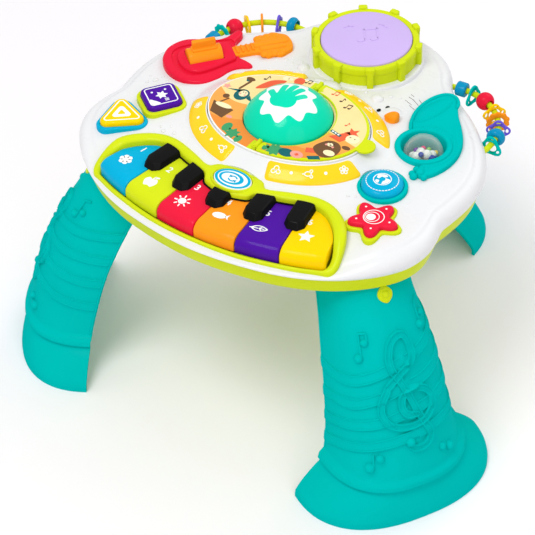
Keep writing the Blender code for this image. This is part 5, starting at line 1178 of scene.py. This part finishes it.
def dome_paint():
    """Glossy green with a white splash round a green hand."""
    paint = Paint("dome_green", 0.2, Coat_Weight=0.18, Coat_Roughness=0.08, Specular_IOR_Level=0.03)
    x, y, _ = paint.axes()
    turn = paint.sum("ARCTAN2", y, x)
    away = paint.sum("SQRT", x * x + y * y)
    edge = (paint.sum("SINE", turn * 9 + 0.8) * 2.6 + paint.sum("SINE", turn * 4 + 2.0) * 1.2
            + paint.sum("SINE", turn - 0.6) * -2.2 + 25.0)
    splash = 1.0 - paint.step(away, edge, 0.16)
    hand = capsule_mask(paint, x, y, (-3.2, -8.5), (3.4, -7.0), 9.0)
    for start, end, radius in (((-6.2, -3), (-9.6, 11.0), 3.0), ((-1.2, 0), (-1.8, 16.0), 3.1),
                               ((4.0, 0), (6.2, 14.2), 3.0), ((8.0, -4), (13.4, 7.2), 2.7),
                               ((-8.0, -9), (-17.4, -1.0), 3.0)):
        hand = paint.sum("MAXIMUM", hand, capsule_mask(paint, x, y, start, end, radius))
    mask = splash * (1.0 - hand)
    cloud = paint.noise(18.0, 2.0)
    paint.colour(paint.mix(mask, paint.mix(cloud, (0.0, 0.62, 0.38), (0.0, 0.72, 0.45)), (0.86, 0.90, 0.89)))
    paint.feed(paint.shader.inputs["Roughness"], 0.10 + paint.noise(70.0) * 0.08 + mask * 0.12)
    paint.bump(paint.noise(30.0, 1.0), 0.00012, 0.25)
    return paint


green = dome_paint()


def build_dome():
    big = (DOME_RADIUS ** 2 + DOME_RISE ** 2) / (2 * DOME_RISE)
    low = math.degrees(math.acos(DOME_RADIUS / big))
    outer, inner = (arc((0, DOME_TOP - big), (radius, radius), 90, low, 28) for radius in (big, big - 2.5))
    profile = outer[:-1] + [(DOME_RADIUS - 0.25, 272.3), (DOME_RADIUS, 271.7), (DOME_RADIUS, 261.7), (44, 261.7),
                            (44, 259.7), (inner[-1][0], 259.7)] + inner[::-1]
    piece("dome", spun(profile, 128), green, "dome", "green", "dome_button", sharp=50)


# Angles at which each window starts and ends
WINDOWS = ((12.5, 79), (109.5, 163), (187, 253.5), (287, 346.5))
# Half width and half depth of the windows' outer and inner edges
WINDOW_OUTER, WINDOW_INNER = (97.8, 75.3), (82, 59.4)


def trefoil():
    return [hoop(radius, radius - 0.85, 24, (x, y))
            for x, y, radius in ((-2.3, -0.9, 2.3), (2.3, -0.9, 2.3), (0, 2.2, 2.6))]


def sprig():
    return [ring_flat(oval(3.4, 2.5, 28), oval(2.5, 1.6, 28)), flat(capsule((-4.6, 0), (-3.2, 0), 0.5)),
            hoop(1.6, 0.8, 20, (3.0, 2.6)), hoop(1.6, 0.8, 20, (3.0, -2.6))]


def rosette():
    return [flat(oval(1.1, steps=16))] + [hoop(1.7, 0.9, 20, spot) for spot in oval(2.6, steps=5)]


def window_section(angle, from_end, crest):
    """Outline of a window across one ray. It narrows and sinks towards the window's ends."""
    pinch = 3.6 - math.sqrt(max(0, 3.6 ** 2 - (3.6 - min(3.6, from_end)) ** 2))
    rise = crest * math.sqrt(1 - (1 - min(1, from_end / 5)) ** 2)
    outer, inner = oval_radius(angle, *WINDOW_OUTER) - pinch, oval_radius(angle, *WINDOW_INNER) + pinch
    points = [polar(angle, outer, ring_z(angle, outer) - 3)]
    for share in spaced(0, 1, 14):
        radius = outer + (inner - outer) * share
        lift = rise * (1 - abs(2 * share - 1) ** 3.2)
        points.append(polar(angle, radius, ring_z(angle, radius) + 0.1 + lift))
    return points + [polar(angle, inner, ring_z(angle, inner) - 3)]


def build_windows():
    glass, icons = [], []
    # Length of a degree at the windows, and how far from a window's end its close sections lie
    degree, near = 1.45, [0, 0.25, 0.7, 1.3, 2.0, 2.8, 3.8, 5, 6.5, 8]
    for number, (start, end) in enumerate(WINDOWS):
        # The window behind the disc stands higher, so that it shows over the disc
        crest = 4.8 if 60 < (start + end) / 2 < 165 else 1.5
        low, high = [start + d / degree for d in near], [end - d / degree for d in reversed(near)]
        glass.append(skin([window_section(angle, min(angle - start, end - angle) * degree, crest)
                           for angle in low + spaced(low[-1], high[0], 30)[1:-1] + high]))
        for i, share in enumerate((0.13, 0.315, 0.5, 0.685, 0.87)):
            angle = start + (end - start) * share
            foot, top = ring_radii(angle)
            radius = foot + (top - foot) * 0.52
            lean = math.degrees(math.atan2(RING_INNER[2] - RING_FOOT[2], foot - top))
            x, y, z = polar(angle, radius, ring_z(angle, radius) + crest - 0.05)
            outwards = math.degrees(math.atan2(y / WINDOW_OUTER[1] ** 2, x / WINDOW_OUTER[0] ** 2))
            place = shift(x, y, z) @ rotation(outwards + 90) @ rotation(lean, "X")
            shapes = [flat(oval(1.5, steps=20))] if i % 2 else (trefoil, sprig, rosette)[(number + i // 2) % 3]()
            icons += [(shape, place) for shape in shapes]
    band = spun([(1, 252.4), (1.02, 252.4), (1.02, 256.6), (1, 256.6)], 96, closed=True)
    band = (band, Matrix.Diagonal((83.5, 61, 1, 1)))
    piece("window_glass", together(band, *glass), amber, "table", "amber", "light_windows", sharp=50)
    piece("window_prints", together(*icons), print_white, "table", "white")


amber = moulded("window_amber", (0.97, 0.62, 0.012), 0.2, 0.35)
build_disc()
build_page()
build_dome()
build_windows()


# ---------------------------------------------------------------- push buttons

MARK = 0.25
UP = shift(0, 0, 4.4)


def triangle_marks(outline):
    inner, hole = (moved(outline(0), 0, 0, share) for share in (0.42, 0.17))
    return [(ring_flat(outline(-3.4), outline(-4.6), 0, MARK), UP), (ring_flat(inner, hole, 0, MARK), UP)]


def square_marks(outline):
    shapes = [star_outline(6.0, 6, 0.55, 0, 0.5), oval(1.1, steps=18, place=(-7, 6)),
              oval(1.1, steps=18, place=(-6.5, -7)),
              smooth_shape([(3.5, -11.8), (11.5, -11.5), (11.8, -4.0), (8.6, -6.0), (6.0, -8.6)])]
    shapes += [moved(capsule((0, -1.6), (0, 1.6), 0.35), 6.5 + 1.4 * i, 3.4) for i in range(3)]
    return [(ring_flat(outline(-3.4), outline(-4.5), 0, MARK), UP)] + [
        (flat(shape, 0, MARK), UP @ rotation(-45)) for shape in shapes]


def round_marks(outline):
    top = shift(0, 0, 6.42)
    marks = [(hoop(8.2, 7.4, 48), top)]
    for shape in ([(-6, 4), (-1, 6.5), (2.5, 5.5), (0, 2.4), (-2, 2.8), (-3.4, -0.6), (-5.6, 0.4)],
                  [(-1, 1), (3, 2.6), (6.8, 2.0), (6.4, -2.6), (2.8, -6.0), (1.8, -2.6)],
                  [(-4.6, -3.4), (-1.6, -2.8), (-1.0, -6.4), (-3.6, -5.8)]):
        marks.append((flat(smooth_shape(shape), 0, 0.34), top))
    return marks + [(flat(capsule((0, -0.75), (0, 0.75), 0.36, 4), 0, 0.32),
                     rotation(11.25 * i) @ shift(14.3, 0, 5.30) @ rotation(28, "Y")) for i in range(32)]


def star_marks(outline):
    marks = [hoop(9.4, 8.6, 48, height=MARK), hoop(6.6, 5.9, 40, (-1.4, -0.6), height=MARK),
             flat(oval(4.2, steps=36, place=(-2.2, -1.2)), 0, MARK)]
    marks += [flat(oval(0.95, steps=16, place=spot), 0, MARK) for spot in oval(15.2, steps=5)]
    return [(mark, UP) for mark in marks]


# The slot and paint of the base, then of the cap, then the cap's marks
BUTTON_LOOKS = {
    "triangle": (("blue", blue), ("yellow", yellow), triangle_marks),
    "square": (("lime", lime), ("purple", purple), square_marks),
    "round": (("teal", teal), ("blue", blue), round_marks),
    "star": (("lime", lime), ("red", red), star_marks),
}
# Share of the radius and of the crown's height
ROUND_CROWN = ((0.0, 1.0), (0.2, 0.992), (0.45, 0.955), (0.6, 0.90), (0.72, 0.82), (0.82, 0.71), (0.9, 0.57),
               (0.955, 0.42), (0.985, 0.27), (1.0, 0.08), (1.0, -0.5))


def build_buttons():
    for name, (x, y, z, turn, outline) in BUTTONS.items():
        place = shift(x, y, z) @ rotation(turn)
        (base_slot, base_paint), (slot, paint), marks = BUTTON_LOOKS[name]
        base = cut(plate(outline(3.8), -13.4, 0, 1.5, 5), plate(outline(0.4), -11.4, 4))
        piece(f"{name}_seat", together((base, place)), base_paint, "table", base_slot, f"{name}_base")
        if name == "round":
            cap = spun([(19 * r, 6.8 * h) for r, h in ROUND_CROWN] + [(19, -8), (0, -8)], 72)
        else:
            cap = plate(outline(0), -8, 4.5, 2.4, 6)
        piece(f"{name}_cap", together((cap, place)), paint, f"{name}_cap", slot, f"{name}_button")
        marks = together(*((mark, place @ lift) for mark, lift in marks(outline)))
        piece(f"{name}_marks", marks, print_white, f"{name}_cap", slot)


build_buttons()


# ---------------------------------------------------------------- drum

def drum_skin_z(radius):
    return 276.7 + 4.3 * (1 - (radius / 43.2) ** 2) if radius < 42.4 else 276.9


def drum_dome(reach, count, lift=0.0):
    """Profile of the drum's skin from its middle outwards, by steps of 1/24 of the reach."""
    return [(reach * i / 24, drum_skin_z(reach * i / 24) + lift) for i in range(count)]


def build_drum():
    middle = shift(*DRUM)
    rim = spun([(43.6, 250), (49.4, 250), (50, 250.6), (50, 252.6), (49.0, 253.4), (49.0, 268.6), (50, 269.6),
                (50, 274.2), (49.6, 275.3), (48.8, 276), (45.2, 276), (44.2, 275.6), (43.6, 274.6)],
               144, closed=True)
    parts = [(rim, middle)]
    for index in range(10):
        turn = middle @ rotation(36 * index + 18)
        parts += [(brick(size, place, edge), turn) for size, place, edge in (
            ((5.0, 6, 27.5), (51, 0, 264.2), 0.9), ((5.8, 8.6, 6.4), (50.4, 0, 274.8), 1.1),
            ((5.0, 7.2, 3.2), (50.7, 0, 252.3), 0.9))]
    piece("drum_hoop", together(*parts), lime, "table", "lime", "drum_ring")
    skin_top = spun(drum_dome(43.2, 24) + [(42.7, 276.7), (43.2, 276.1), (43.2, 268), (0, 268)], 144)
    piece("drum_skin", together((skin_top, middle)), lilac, "drum_skin", "lilac", "drum_head", sharp=50)
    raised = spun(drum_dome(42, 25, 0.4) + [(42, 270), (0, 270)], 96)
    shapes = note(-5.5, -8.5, 11.0) + [capsule(start, end, 0.7) for start, end in (
        ((-20, 14), (-16, 15.5)), ((-16, 15.5), (-12, 15)), ((13, 17), (17, 15)), ((17, 15), (20, 11)))]
    reliefs = [(common(together((plate(shape, 272, 290), rotation(35.6))), raised.copy()), middle)
               for shape in shapes]
    raised.free()
    piece("drum_note", together(*reliefs), lilac, "drum_skin", "lilac", sharp=30)


lilac = moulded("drum_lilac", LILAC, 0.42, 0.05)
build_drum()


# ---------------------------------------------------------------- guitar with its strum roller

# Shares of the guitar's scale
GUITAR_NECK = ((0.58, 0), (0.60, 0.15), (1.06, 0.17), (1.17, 0.27), (1.26, 0.39), (1.40, 0.36), (1.55, 0.41),
               (1.70, 0.33), (1.84, 0.22), (1.88, 0))
PILLOW = ((-0.56, 0), (-0.50, 0.26), (-0.30, 0.38), (0.10, 0.37), (0.46, 0.34), (0.60, 0.28), (0.62, 0),
          (0.60, -0.28), (0.42, -0.36), (0.05, -0.48), (-0.30, -0.50), (-0.50, -0.30))
# Size and place of the opening for the strum roller
ROLLER_OPENING = (34, 23, 24), (0, 0, 259)


def build_guitar():
    place = shift(*GUITAR) @ rotation(GUITAR_TURN)
    body = plate(guitar_local(GUITAR_BODY), 245, 258.8, 3.0, 5)
    dish = guitar_local([(x * 1.19 - 0.01, y * 1.22) for x, y in PILLOW])
    body = cut(body, plate(dish, 256.3, 263, 0, 4, bottom_edge=2.0), brick(*ROLLER_OPENING))
    raised = cut(plate(guitar_local(PILLOW), 250, 260, 2.2, 5), brick(*ROLLER_OPENING))
    piece("guitar_shape", together((body, place), (raised, place)), red, "table", "red", "guitar_body")

    outline = guitar_local(list(GUITAR_NECK) + [(x, -y) for x, y in reversed(GUITAR_NECK[1:-1])], 6)
    neck = [(plate(outline, 245, 257.8, 1.6, 4), place)]
    for index in range(4):
        neck.append((brick((1.8, 11, 3.4), (GUITAR_SCALE * (0.70 + 0.11 * index), 0, 257.9), 0.5), place))
    for side in (1, -1):
        for x, y, radius in ((1.22, 0.27, 4.6), (1.42, 0.30, 4.4), (1.60, 0.28, 4.4), (1.76, 0.14, 3.8)):
            peg = (x * GUITAR_SCALE, side * y * GUITAR_SCALE, 256.4)
            neck.append((ball(radius, peg, (1, 1, 0.62), 20), place))
    for ends, radius in ((((1.12, 0.04), (1.74, 0.04)), 3.6), (((1.22, -0.10), (1.66, -0.12)), 3.4)):
        ridge = capsule(*moved(ends, 0, 0, GUITAR_SCALE), radius, 12)
        neck.append((plate(ridge, 252, 259, 1.6, 4), place))
    piece("guitar_neck_shape", together(*neck), orange, "table", "orange", "guitar_neck")

    across = shift(0, 0, 257) @ rotation(90, "Y")
    drum = spun([(0, -16.5), (10.0, -16.5), (10.7, -16.2), (11, -15.4), (11, 15.4), (10.7, 16.2), (10.0, 16.5),
                 (0, 16.5)], 64)
    pins = spun([(0, -18.7), (1.8, -18.7), (1.8, 18.7), (0, 18.7)], 20)
    fillet = cut(brick((24.6, 8.6, 6), (0, 0, 267.6), 1.6, 4),
                 *(pipe([(-14, side * 5.4, 270.6), (14, side * 5.4, 270.6)], 2.6, 20) for side in (1, -1)))
    piece("strum_roller_shape", together((drum, place @ across), (pins, place @ across), (fillet, place),
                                         (brick((23, 5, 22), (0, 0, 266.5), 1.3, 4), place)),
          orange, "roller", "orange", "strum_roller")


build_guitar()


# ---------------------------------------------------------------- horn with its rattle ball

BELL = ((93.0, 57.5), (87.4, 68.5), (83.6, 84.0), (84.2, 100.0), (88.4, 112.5), (95.2, 120.2), (103.5, 120.6),
        (110.2, 114.4), (112.6, 107.0))


def build_horn():
    centre = shift(*WELL)
    crescent = plate(horn_outline, 245, 257.6, 2.2, 5)
    groove = pipe([(x, y, 260.6) for x, y in oval(28.2, steps=72, place=WELL)], 3.6, 16, closed=True)
    hollow = (ball(1, squash=(9.5, 26, 5.2), steps=40), shift(97.5, 92, 259.2) @ rotation(-14))
    crescent = cut(crescent, plate(oval(26.0, steps=96, place=WELL), 240, 270), groove, together(hollow))
    rim = [(x + 1.6, y - 0.6, 257.4) for x, y in open_curve(BELL)]
    lip = pipe(rim, [1.1] + [1.75] * (len(rim) - 2) + [1.1], 16)
    cup = spun([(0, 230.2), (18.5, 230.2), (20.5, 232.2), (20.5, 257.6), (20.9, 258.6), (21.8, 259.2),
                (24.2, 259.25), (25.6, 258.7), (26.2, 257.6), (26.2, 246), (22.5, 246), (22.5, 228.2),
                (0, 228.2)], 120)
    knobs = []
    for x, y, z, radius in ((133.2, 10.1, 256.4, 4.3), (130.2, 3.6, 255.4, 3.7), (135.4, 16.4, 255.4, 3.6),
                            (127.8, 13.0, 255.4, 3.5), (138.2, 7.6, 255.0, 3.3), (126.8, 6.8, 255.0, 3.2)):
        knobs.append(ball(radius, (x, y, z), (1, 1, 0.9), 20))
    piece("horn_shape", together(crescent, lip, (cup, centre), *knobs), teal, "table", "teal", "horn_body")


# The slot and paint of each kind of loose bead, then way right, way near, height and radius of each
BEADS = {
    "pearl": ("white", moulded("bead_pearl", (0.84, 0.84, 0.78), 0.12, 0.6), (
        (-6.5, 0, -3.5, 4.6), (3.2, -1.5, -3.0, 4.8), (-1.5, -8, -5, 4.4), (8.6, -4.5, -5.5, 4.2),
        (-9, -5, -6.5, 4.0), (0, 0, -11.2, 4.6))),
    "blue": ("blue", moulded("bead_navy", (0.012, 0.04, 0.34), 0.15, 0.5), (
        (-9.2, 4.6, -7.4, 3.2), (-2.4, 1.6, -0.2, 2.6), (7.6, 2.2, -4.6, 3.4), (4.5, 8.0, -9.1, 3.0),
        (10.4, -0.5, -7.0, 2.9))),
    "pink": ("red", moulded("bead_pink", (0.80, 0.06, 0.20), 0.15, 0.5), (
        (2.0, 6.2, -7.4, 2.8), (-5.5, 8.2, -9.2, 2.6), (1.0, -12.4, -4.5, 2.6))),
    "plum": ("purple", moulded("bead_plum", (0.20, 0.04, 0.38), 0.15, 0.5), (
        (-3.4, 6.0, -6.9, 2.5), (9.2, 5.2, -8.8, 2.5), (-5.5, -11.2, -5.0, 2.5))),
    "leaf": ("lime", moulded("bead_leaf", (0.22, 0.55, 0.10), 0.15, 0.5), (
        (-6.0, 4.6, -5.8, 2.4), (-11.0, 0.5, -7.8, 2.4), (6.0, -11.4, -5.0, 2.4))),
    "sun": ("yellow", moulded("bead_sun", (0.90, 0.62, 0.03), 0.15, 0.5), (
        (-1.0, 9.4, -9.0, 2.4), (5.2, 4.4, -8.6, 2.4), (12.0, -5.6, -4.2, 2.2))),
}


def clear_paint():
    """Thin clear plastic: see-through face on, turning opaque towards its rim, where its real gloss shows more and
    the pale base colour gives a painted sheen.
    """
    paint = Paint("clear_plastic", 0.03, IOR=1.45, Coat_Weight=0.3)
    haze = paint.noise(30.0)
    paint.colour(paint.mix(haze, (0.93, 0.95, 0.90), (0.97, 0.97, 0.93)))
    # Opacity rises towards the rim: the gloss it lets through is real reflection, and the pale base colour it lets
    # show there is a painted sheen.
    rim = paint.node("LayerWeight", out=1, Blend=0.3)
    paint.feed(paint.shader.inputs["Alpha"], 0.04 + rim * rim * 0.6)
    paint.feed(paint.shader.inputs["Roughness"], 0.02 + haze * 0.03)
    return paint


def build_ball():
    """The beads are placed as seen from the camera's side, which lies about 36 degrees right of the front."""
    centre = shift(*WELL, 249)
    globe = together(ball(18, steps=72), ball(16.5, steps=72))
    seam = spun([(18.0, -0.5), (18.25, -0.3), (18.25, 0.3), (18.0, 0.5), (17.6, 0.5), (17.6, -0.5)], 96,
                closed=True)
    pins = [spun([(0, low), (2, low), (2, low + 3.7), (0, low + 3.7)], 20) for low in (-21.3, 17.6)]
    sideways = centre @ rotation(90, "Y")
    tilt = centre @ rotation(90, "X") @ rotation(35, "Y")
    piece("rattle_globe", together((globe, centre), (seam, tilt), *((pin, sideways) for pin in pins)), clear,
          "ball", "clear", "rattle_ball", sharp=50)
    right, toward = Vector((0.813, 0.582, 0)), Vector((0.582, -0.813, 0))
    for name, (slot, paint, beads) in BEADS.items():
        parts = []
        for across, near, up, radius in beads:
            spot = right * across + toward * near + Vector((0, 0, up))
            parts.append((ball(radius, spot, steps=20), centre))
        piece(f"bead_{name}", together(*parts), paint, "ball", slot, *(["rattle_beads"] if name == "plum" else []))


clear = clear_paint()
build_horn()
build_ball()


# ---------------------------------------------------------------- beak, eyes and printed strokes of the bird

def build_bird():
    profile = [(0, -7.6), (1.6, -6.6), (3.4, -4.2), (5.0, -1.0), (5.6, 2.0), (5.2, 4.6), (3.6, 6.4), (0, 7.2)]
    curve = [(max(0.0, r), z) for r, z in (from_table([(i, *p) for i, p in enumerate(profile)], s / 4)
                                           for s in range(4 * (len(profile) - 1) + 1))]
    curve[0], curve[-1] = (0, -7.6), (0, 7.2)
    aim = shift(72.0, 61.5, 259.6) @ rotation(12) @ rotation(82, "Y") @ Matrix.Diagonal((0.88, 1, 1, 1))
    seat = spun([(0, 256), (6.8, 256), (6.8, 258), (6.2, 259.0), (0, 259.6)], 40)
    piece("beak_shape", together((spun(curve, 40), aim), (seat, shift(72, 62, 0))), orange,
          "table", "orange", "beak")
    eyes = [ball(1.9, (x, y, shell_z(x, y) + 0.1), (1.0, 1.35, 0.35), 20) for x, y in ((55.1, 66.3), (59.0, 75.3))]
    piece("bird_eyes", together(*eyes), black, "table", "black")
    lines = []
    for start, end in (((65.0, 107.1), (69.1, 106.0)), ((75.5, 104.2), (83.3, 99.0)), ((65.4, 96.2), (74.0, 93.1)),
                       ((72.6, 91.3), (82.0, 87.6)), ((65.5, 102.6), (71.9, 100.9)), ((70.6, 101.4), (79.5, 96.3))):
        path = zip(*(spaced(low, high, 5) for low, high in zip(start, end)))
        lines.append(pipe([(x, y, shell_z(x, y) + 0.02) for x, y in path], 0.22, 6))
    piece("bird_strokes", together(*lines), print_dark, "table", "black")


build_bird()


# ---------------------------------------------------------------- bead arches

# X and Y of the arch's middle, its radius and the height of its middle
ARCH = (95, 98, 60, 237)
RAIL_RADIUS, BORE_RADIUS = 2.8, 3.5


def arch_frame(side, angle, drop=0.0):
    """Z runs along the tube, X upwards."""
    c, s = math.cos(math.radians(angle)), math.sin(math.radians(angle))
    along, up = Vector((-side * s, c, 0)), Vector((0, 0, 1))
    spot = Vector((side * (ARCH[0] + ARCH[2] * c), ARCH[1] + ARCH[2] * s, ARCH[3] - drop))
    return Matrix.Translation(spot) @ Matrix((up, along.cross(up), along)).transposed().to_4x4()


def barrel_bead():
    return spun([(BORE_RADIUS, 5.2)] + arc((5.2, 3.6), (1.9, 1.6), 90, 15, 5)
                + arc((5.2, -3.6), (1.9, 1.6), -15, -90, 5) + [(BORE_RADIUS, -5.2)], 48, closed=True)


def ball_bead():
    return spun([(BORE_RADIUS, 5.4), (4.6, 6.9)] + arc((0, 0), (8.6, 8.6), 56, -56, 18)
                + [(4.6, -6.9), (BORE_RADIUS, -5.4)], 48, closed=True)


def cup_bead():
    return spun([(BORE_RADIUS, -3.8), (5.6, -4.5)] + arc((3.6, 0), (5.2, 4.9), -62, 62, 12)
                + [(7.0, 4.5), (6.2, 1.0), (BORE_RADIUS, 0.2)], 48, closed=True)


def ring_bead(swing, lobes, windows):
    """A flat ring with a lobed rim. Windows are open spaces between its collar and its rim."""
    def reach(angle):
        return 11.5 * (1 - swing + swing * math.cos(lobes * angle))

    sections = []
    for i in range(96):
        angle = math.tau * i / 96
        outer = reach(angle)
        middle, half = (outer + 5.6) / 2, (outer - 5.6) / 2
        ring = []
        for c, s in oval(1, steps=16):
            radius = middle + half * math.copysign(abs(c) ** 0.45, c)
            ring.append((radius * math.cos(angle), radius * math.sin(angle), 1.2 * math.copysign(abs(s) ** 0.6, s)))
        sections.append(ring)
    bm = skin(sections, around=True)
    holes = []
    for i in range(windows):
        turn = math.tau * i / windows
        outer = reach(turn) - 2.0
        radius, half = (outer + 6.6) / 2, (outer - 6.6) / 2
        if half > 0.5:
            shape = turned(oval(half, 3.1, 20, (radius, 0)), math.degrees(turn))
            holes.append(plate(shape, -3, 3))
    return cut(bm, together(*holes)) if holes else bm


SHAPES = {
    "barrel": barrel_bead, "ball": ball_bead, "cup": cup_bead, "triangle": lambda: ring_bead(0.14, 3, 3),
    "gear": lambda: ring_bead(0.05, 10, 0), "flower": lambda: ring_bead(0.12, 4, 4),
    "disc": lambda: ring_bead(0.04, 6, 0),
}
# Name, shape and angle along the arch, for the right side and the left
ARCH_BEADS = {
    1: (("blue_bead", "barrel", 94), ("teal_ring", "triangle", 82), ("red_ball", "ball", 67),
        ("yellow_ring", "flower", 50), ("orange_ring", "gear", 38), ("purple_ring", "flower", 26),
        ("blue_cup", "cup", 13), ("teal_hoop", "triangle", 2)),
    -1: (("blue_bead", "barrel", 0), ("teal_ring", "gear", 13), ("red_ball", "ball", 27),
         ("yellow_ring", "disc", 40), ("orange_ring", "disc", 54), ("purple_ring", "flower", 70),
         ("blue_cup", "cup", 84)),
}


def build_arches():
    paints = {"blue": bead_blue, "teal": teal, "red": red, "yellow": yellow, "orange": orange, "purple": violet}
    for side, word in ((1, "right"), (-1, "left")):
        path = [arch_frame(side, angle).translation for angle in spaced(-14, 111, 60)]
        piece(f"{word}_rail", pipe(path, RAIL_RADIUS, 24), lime, "table", "lime", f"arch_rail_{word}")
        for name, shape, angle in ARCH_BEADS[side]:
            slot = name.split("_")[0]
            drop = 2.5 if name.endswith(("ring", "hoop")) else 0
            bead = together((SHAPES[shape](), arch_frame(side, angle, drop)))
            piece(f"{word}_{name}_shape", bead, paints[slot], f"{word}_{name}", slot, f"{word}_{name}", sharp=40)


bead_blue = moulded("bead_blue", (0.0, 0.27, 0.50), 0.25, 0.2)
build_arches()

steel = Paint("screw_steel", 0.3, Metallic=1.0)
steel.colour(steel.mix(steel.noise(200.0), (0.52, 0.52, 0.54), (0.66, 0.66, 0.67)))
board = moulded("board_green", (0.01, 0.16, 0.05), 0.4, 0.1, mottle=0.2)


# ---------------------------------------------------------------- kept CAD nodes, stage, light and camera

KEPT = {
    "lime": lime, "teal": teal, "blue": blue, "red": red, "orange": orange, "yellow": yellow, "purple": purple,
    "black": black, "grey": dark, "white": white, "picture": picture, "amber": amber, "green": green,
    "lilac": lilac, "clear": clear, "steel": steel, "board": board,
}


def dress_kept_nodes():
    slots = {entry["node"]: entry["material_slot"] for entry in frame["record"]["subparts"]}
    for name, obj in frame["nodes"].items():
        paint = KEPT.get(slots[name])
        if paint is not None:
            obj.data.materials.clear()
            obj.data.materials.append(paint.material)


def build_stage():
    floor_paint = Paint("studio_floor", 0.6)
    floor_paint.colour((0.955, 0.925, 0.955))
    bm = bmesh.new()
    bmesh.ops.create_grid(bm, x_segments=1, y_segments=1, size=6)
    mesh = bpy.data.meshes.new("studio_floor")
    bm.to_mesh(mesh)
    bm.free()
    floor = bpy.data.objects.new("studio_floor", mesh)
    mesh.materials.append(floor_paint.material)
    bpy.context.scene.collection.objects.link(floor)

    world = bpy.data.worlds.new("studio")
    world.use_nodes = True
    tree = world.node_tree
    soft = tree.nodes["Background"]
    soft.inputs["Color"].default_value = (1, 1, 1, 1)
    soft.inputs["Strength"].default_value = 0.68
    bright = tree.nodes.new("ShaderNodeBackground")
    bright.inputs["Strength"].default_value = 1.0
    path = tree.nodes.new("ShaderNodeLightPath")
    mixed = tree.nodes.new("ShaderNodeMixShader")
    tree.links.new(path.outputs["Is Camera Ray"], mixed.inputs[0])
    tree.links.new(soft.outputs[0], mixed.inputs[1])
    tree.links.new(bright.outputs[0], mixed.inputs[2])
    tree.links.new(mixed.outputs[0], tree.nodes["World Output"].inputs["Surface"])
    bpy.context.scene.world = world


def soft_lamp(name, place, target, size, watts):
    data = bpy.data.lights.new(name, "AREA")
    data.shape = "DISK"
    data.size = size
    data.energy = watts
    lamp = bpy.data.objects.new(name, data)
    lamp.location = place
    lamp.rotation_euler = (Vector(target) - Vector(place)).to_track_quat("-Z", "Y").to_euler()
    bpy.context.scene.collection.objects.link(lamp)


def build_camera():
    azimuth, elevation, roll = math.radians(35.625), math.radians(42.22), math.radians(-1.986)
    back = Vector((math.sin(azimuth) * math.cos(elevation), -math.cos(azimuth) * math.cos(elevation),
                   math.sin(elevation)))
    right = Vector((math.cos(azimuth), math.sin(azimuth), 0))
    up = back.cross(right)
    across = right * math.cos(roll) + up * math.sin(roll)
    upward = up * math.cos(roll) - right * math.sin(roll)
    turn = Matrix((across, upward, back)).transposed().to_4x4()
    data = bpy.data.cameras.new("camera")
    data.lens = 135.367
    data.sensor_width = 36
    data.clip_end = 20
    camera = bpy.data.objects.new("camera", data)
    camera.matrix_world = shift(0.81915, -1.18366 + MIDDLE, 1.39285) @ turn
    bpy.context.scene.collection.objects.link(camera)
    bpy.context.scene.camera = camera


dress_kept_nodes()
build_stage()
soft_lamp("key_lamp", place=(-0.1, -0.9, 1.9), target=(0, 0, 0.2), size=0.9, watts=16)
soft_lamp("fill_lamp", place=(1.6, -1.2, 1.5), target=(0, 0, 0.2), size=1.8, watts=8)
soft_lamp("back_lamp", place=(0.3, 1.6, 1.6), target=(0, 0, 0.25), size=1.4, watts=9)
build_camera()
bpy.context.scene.view_settings.view_transform = "Standard"
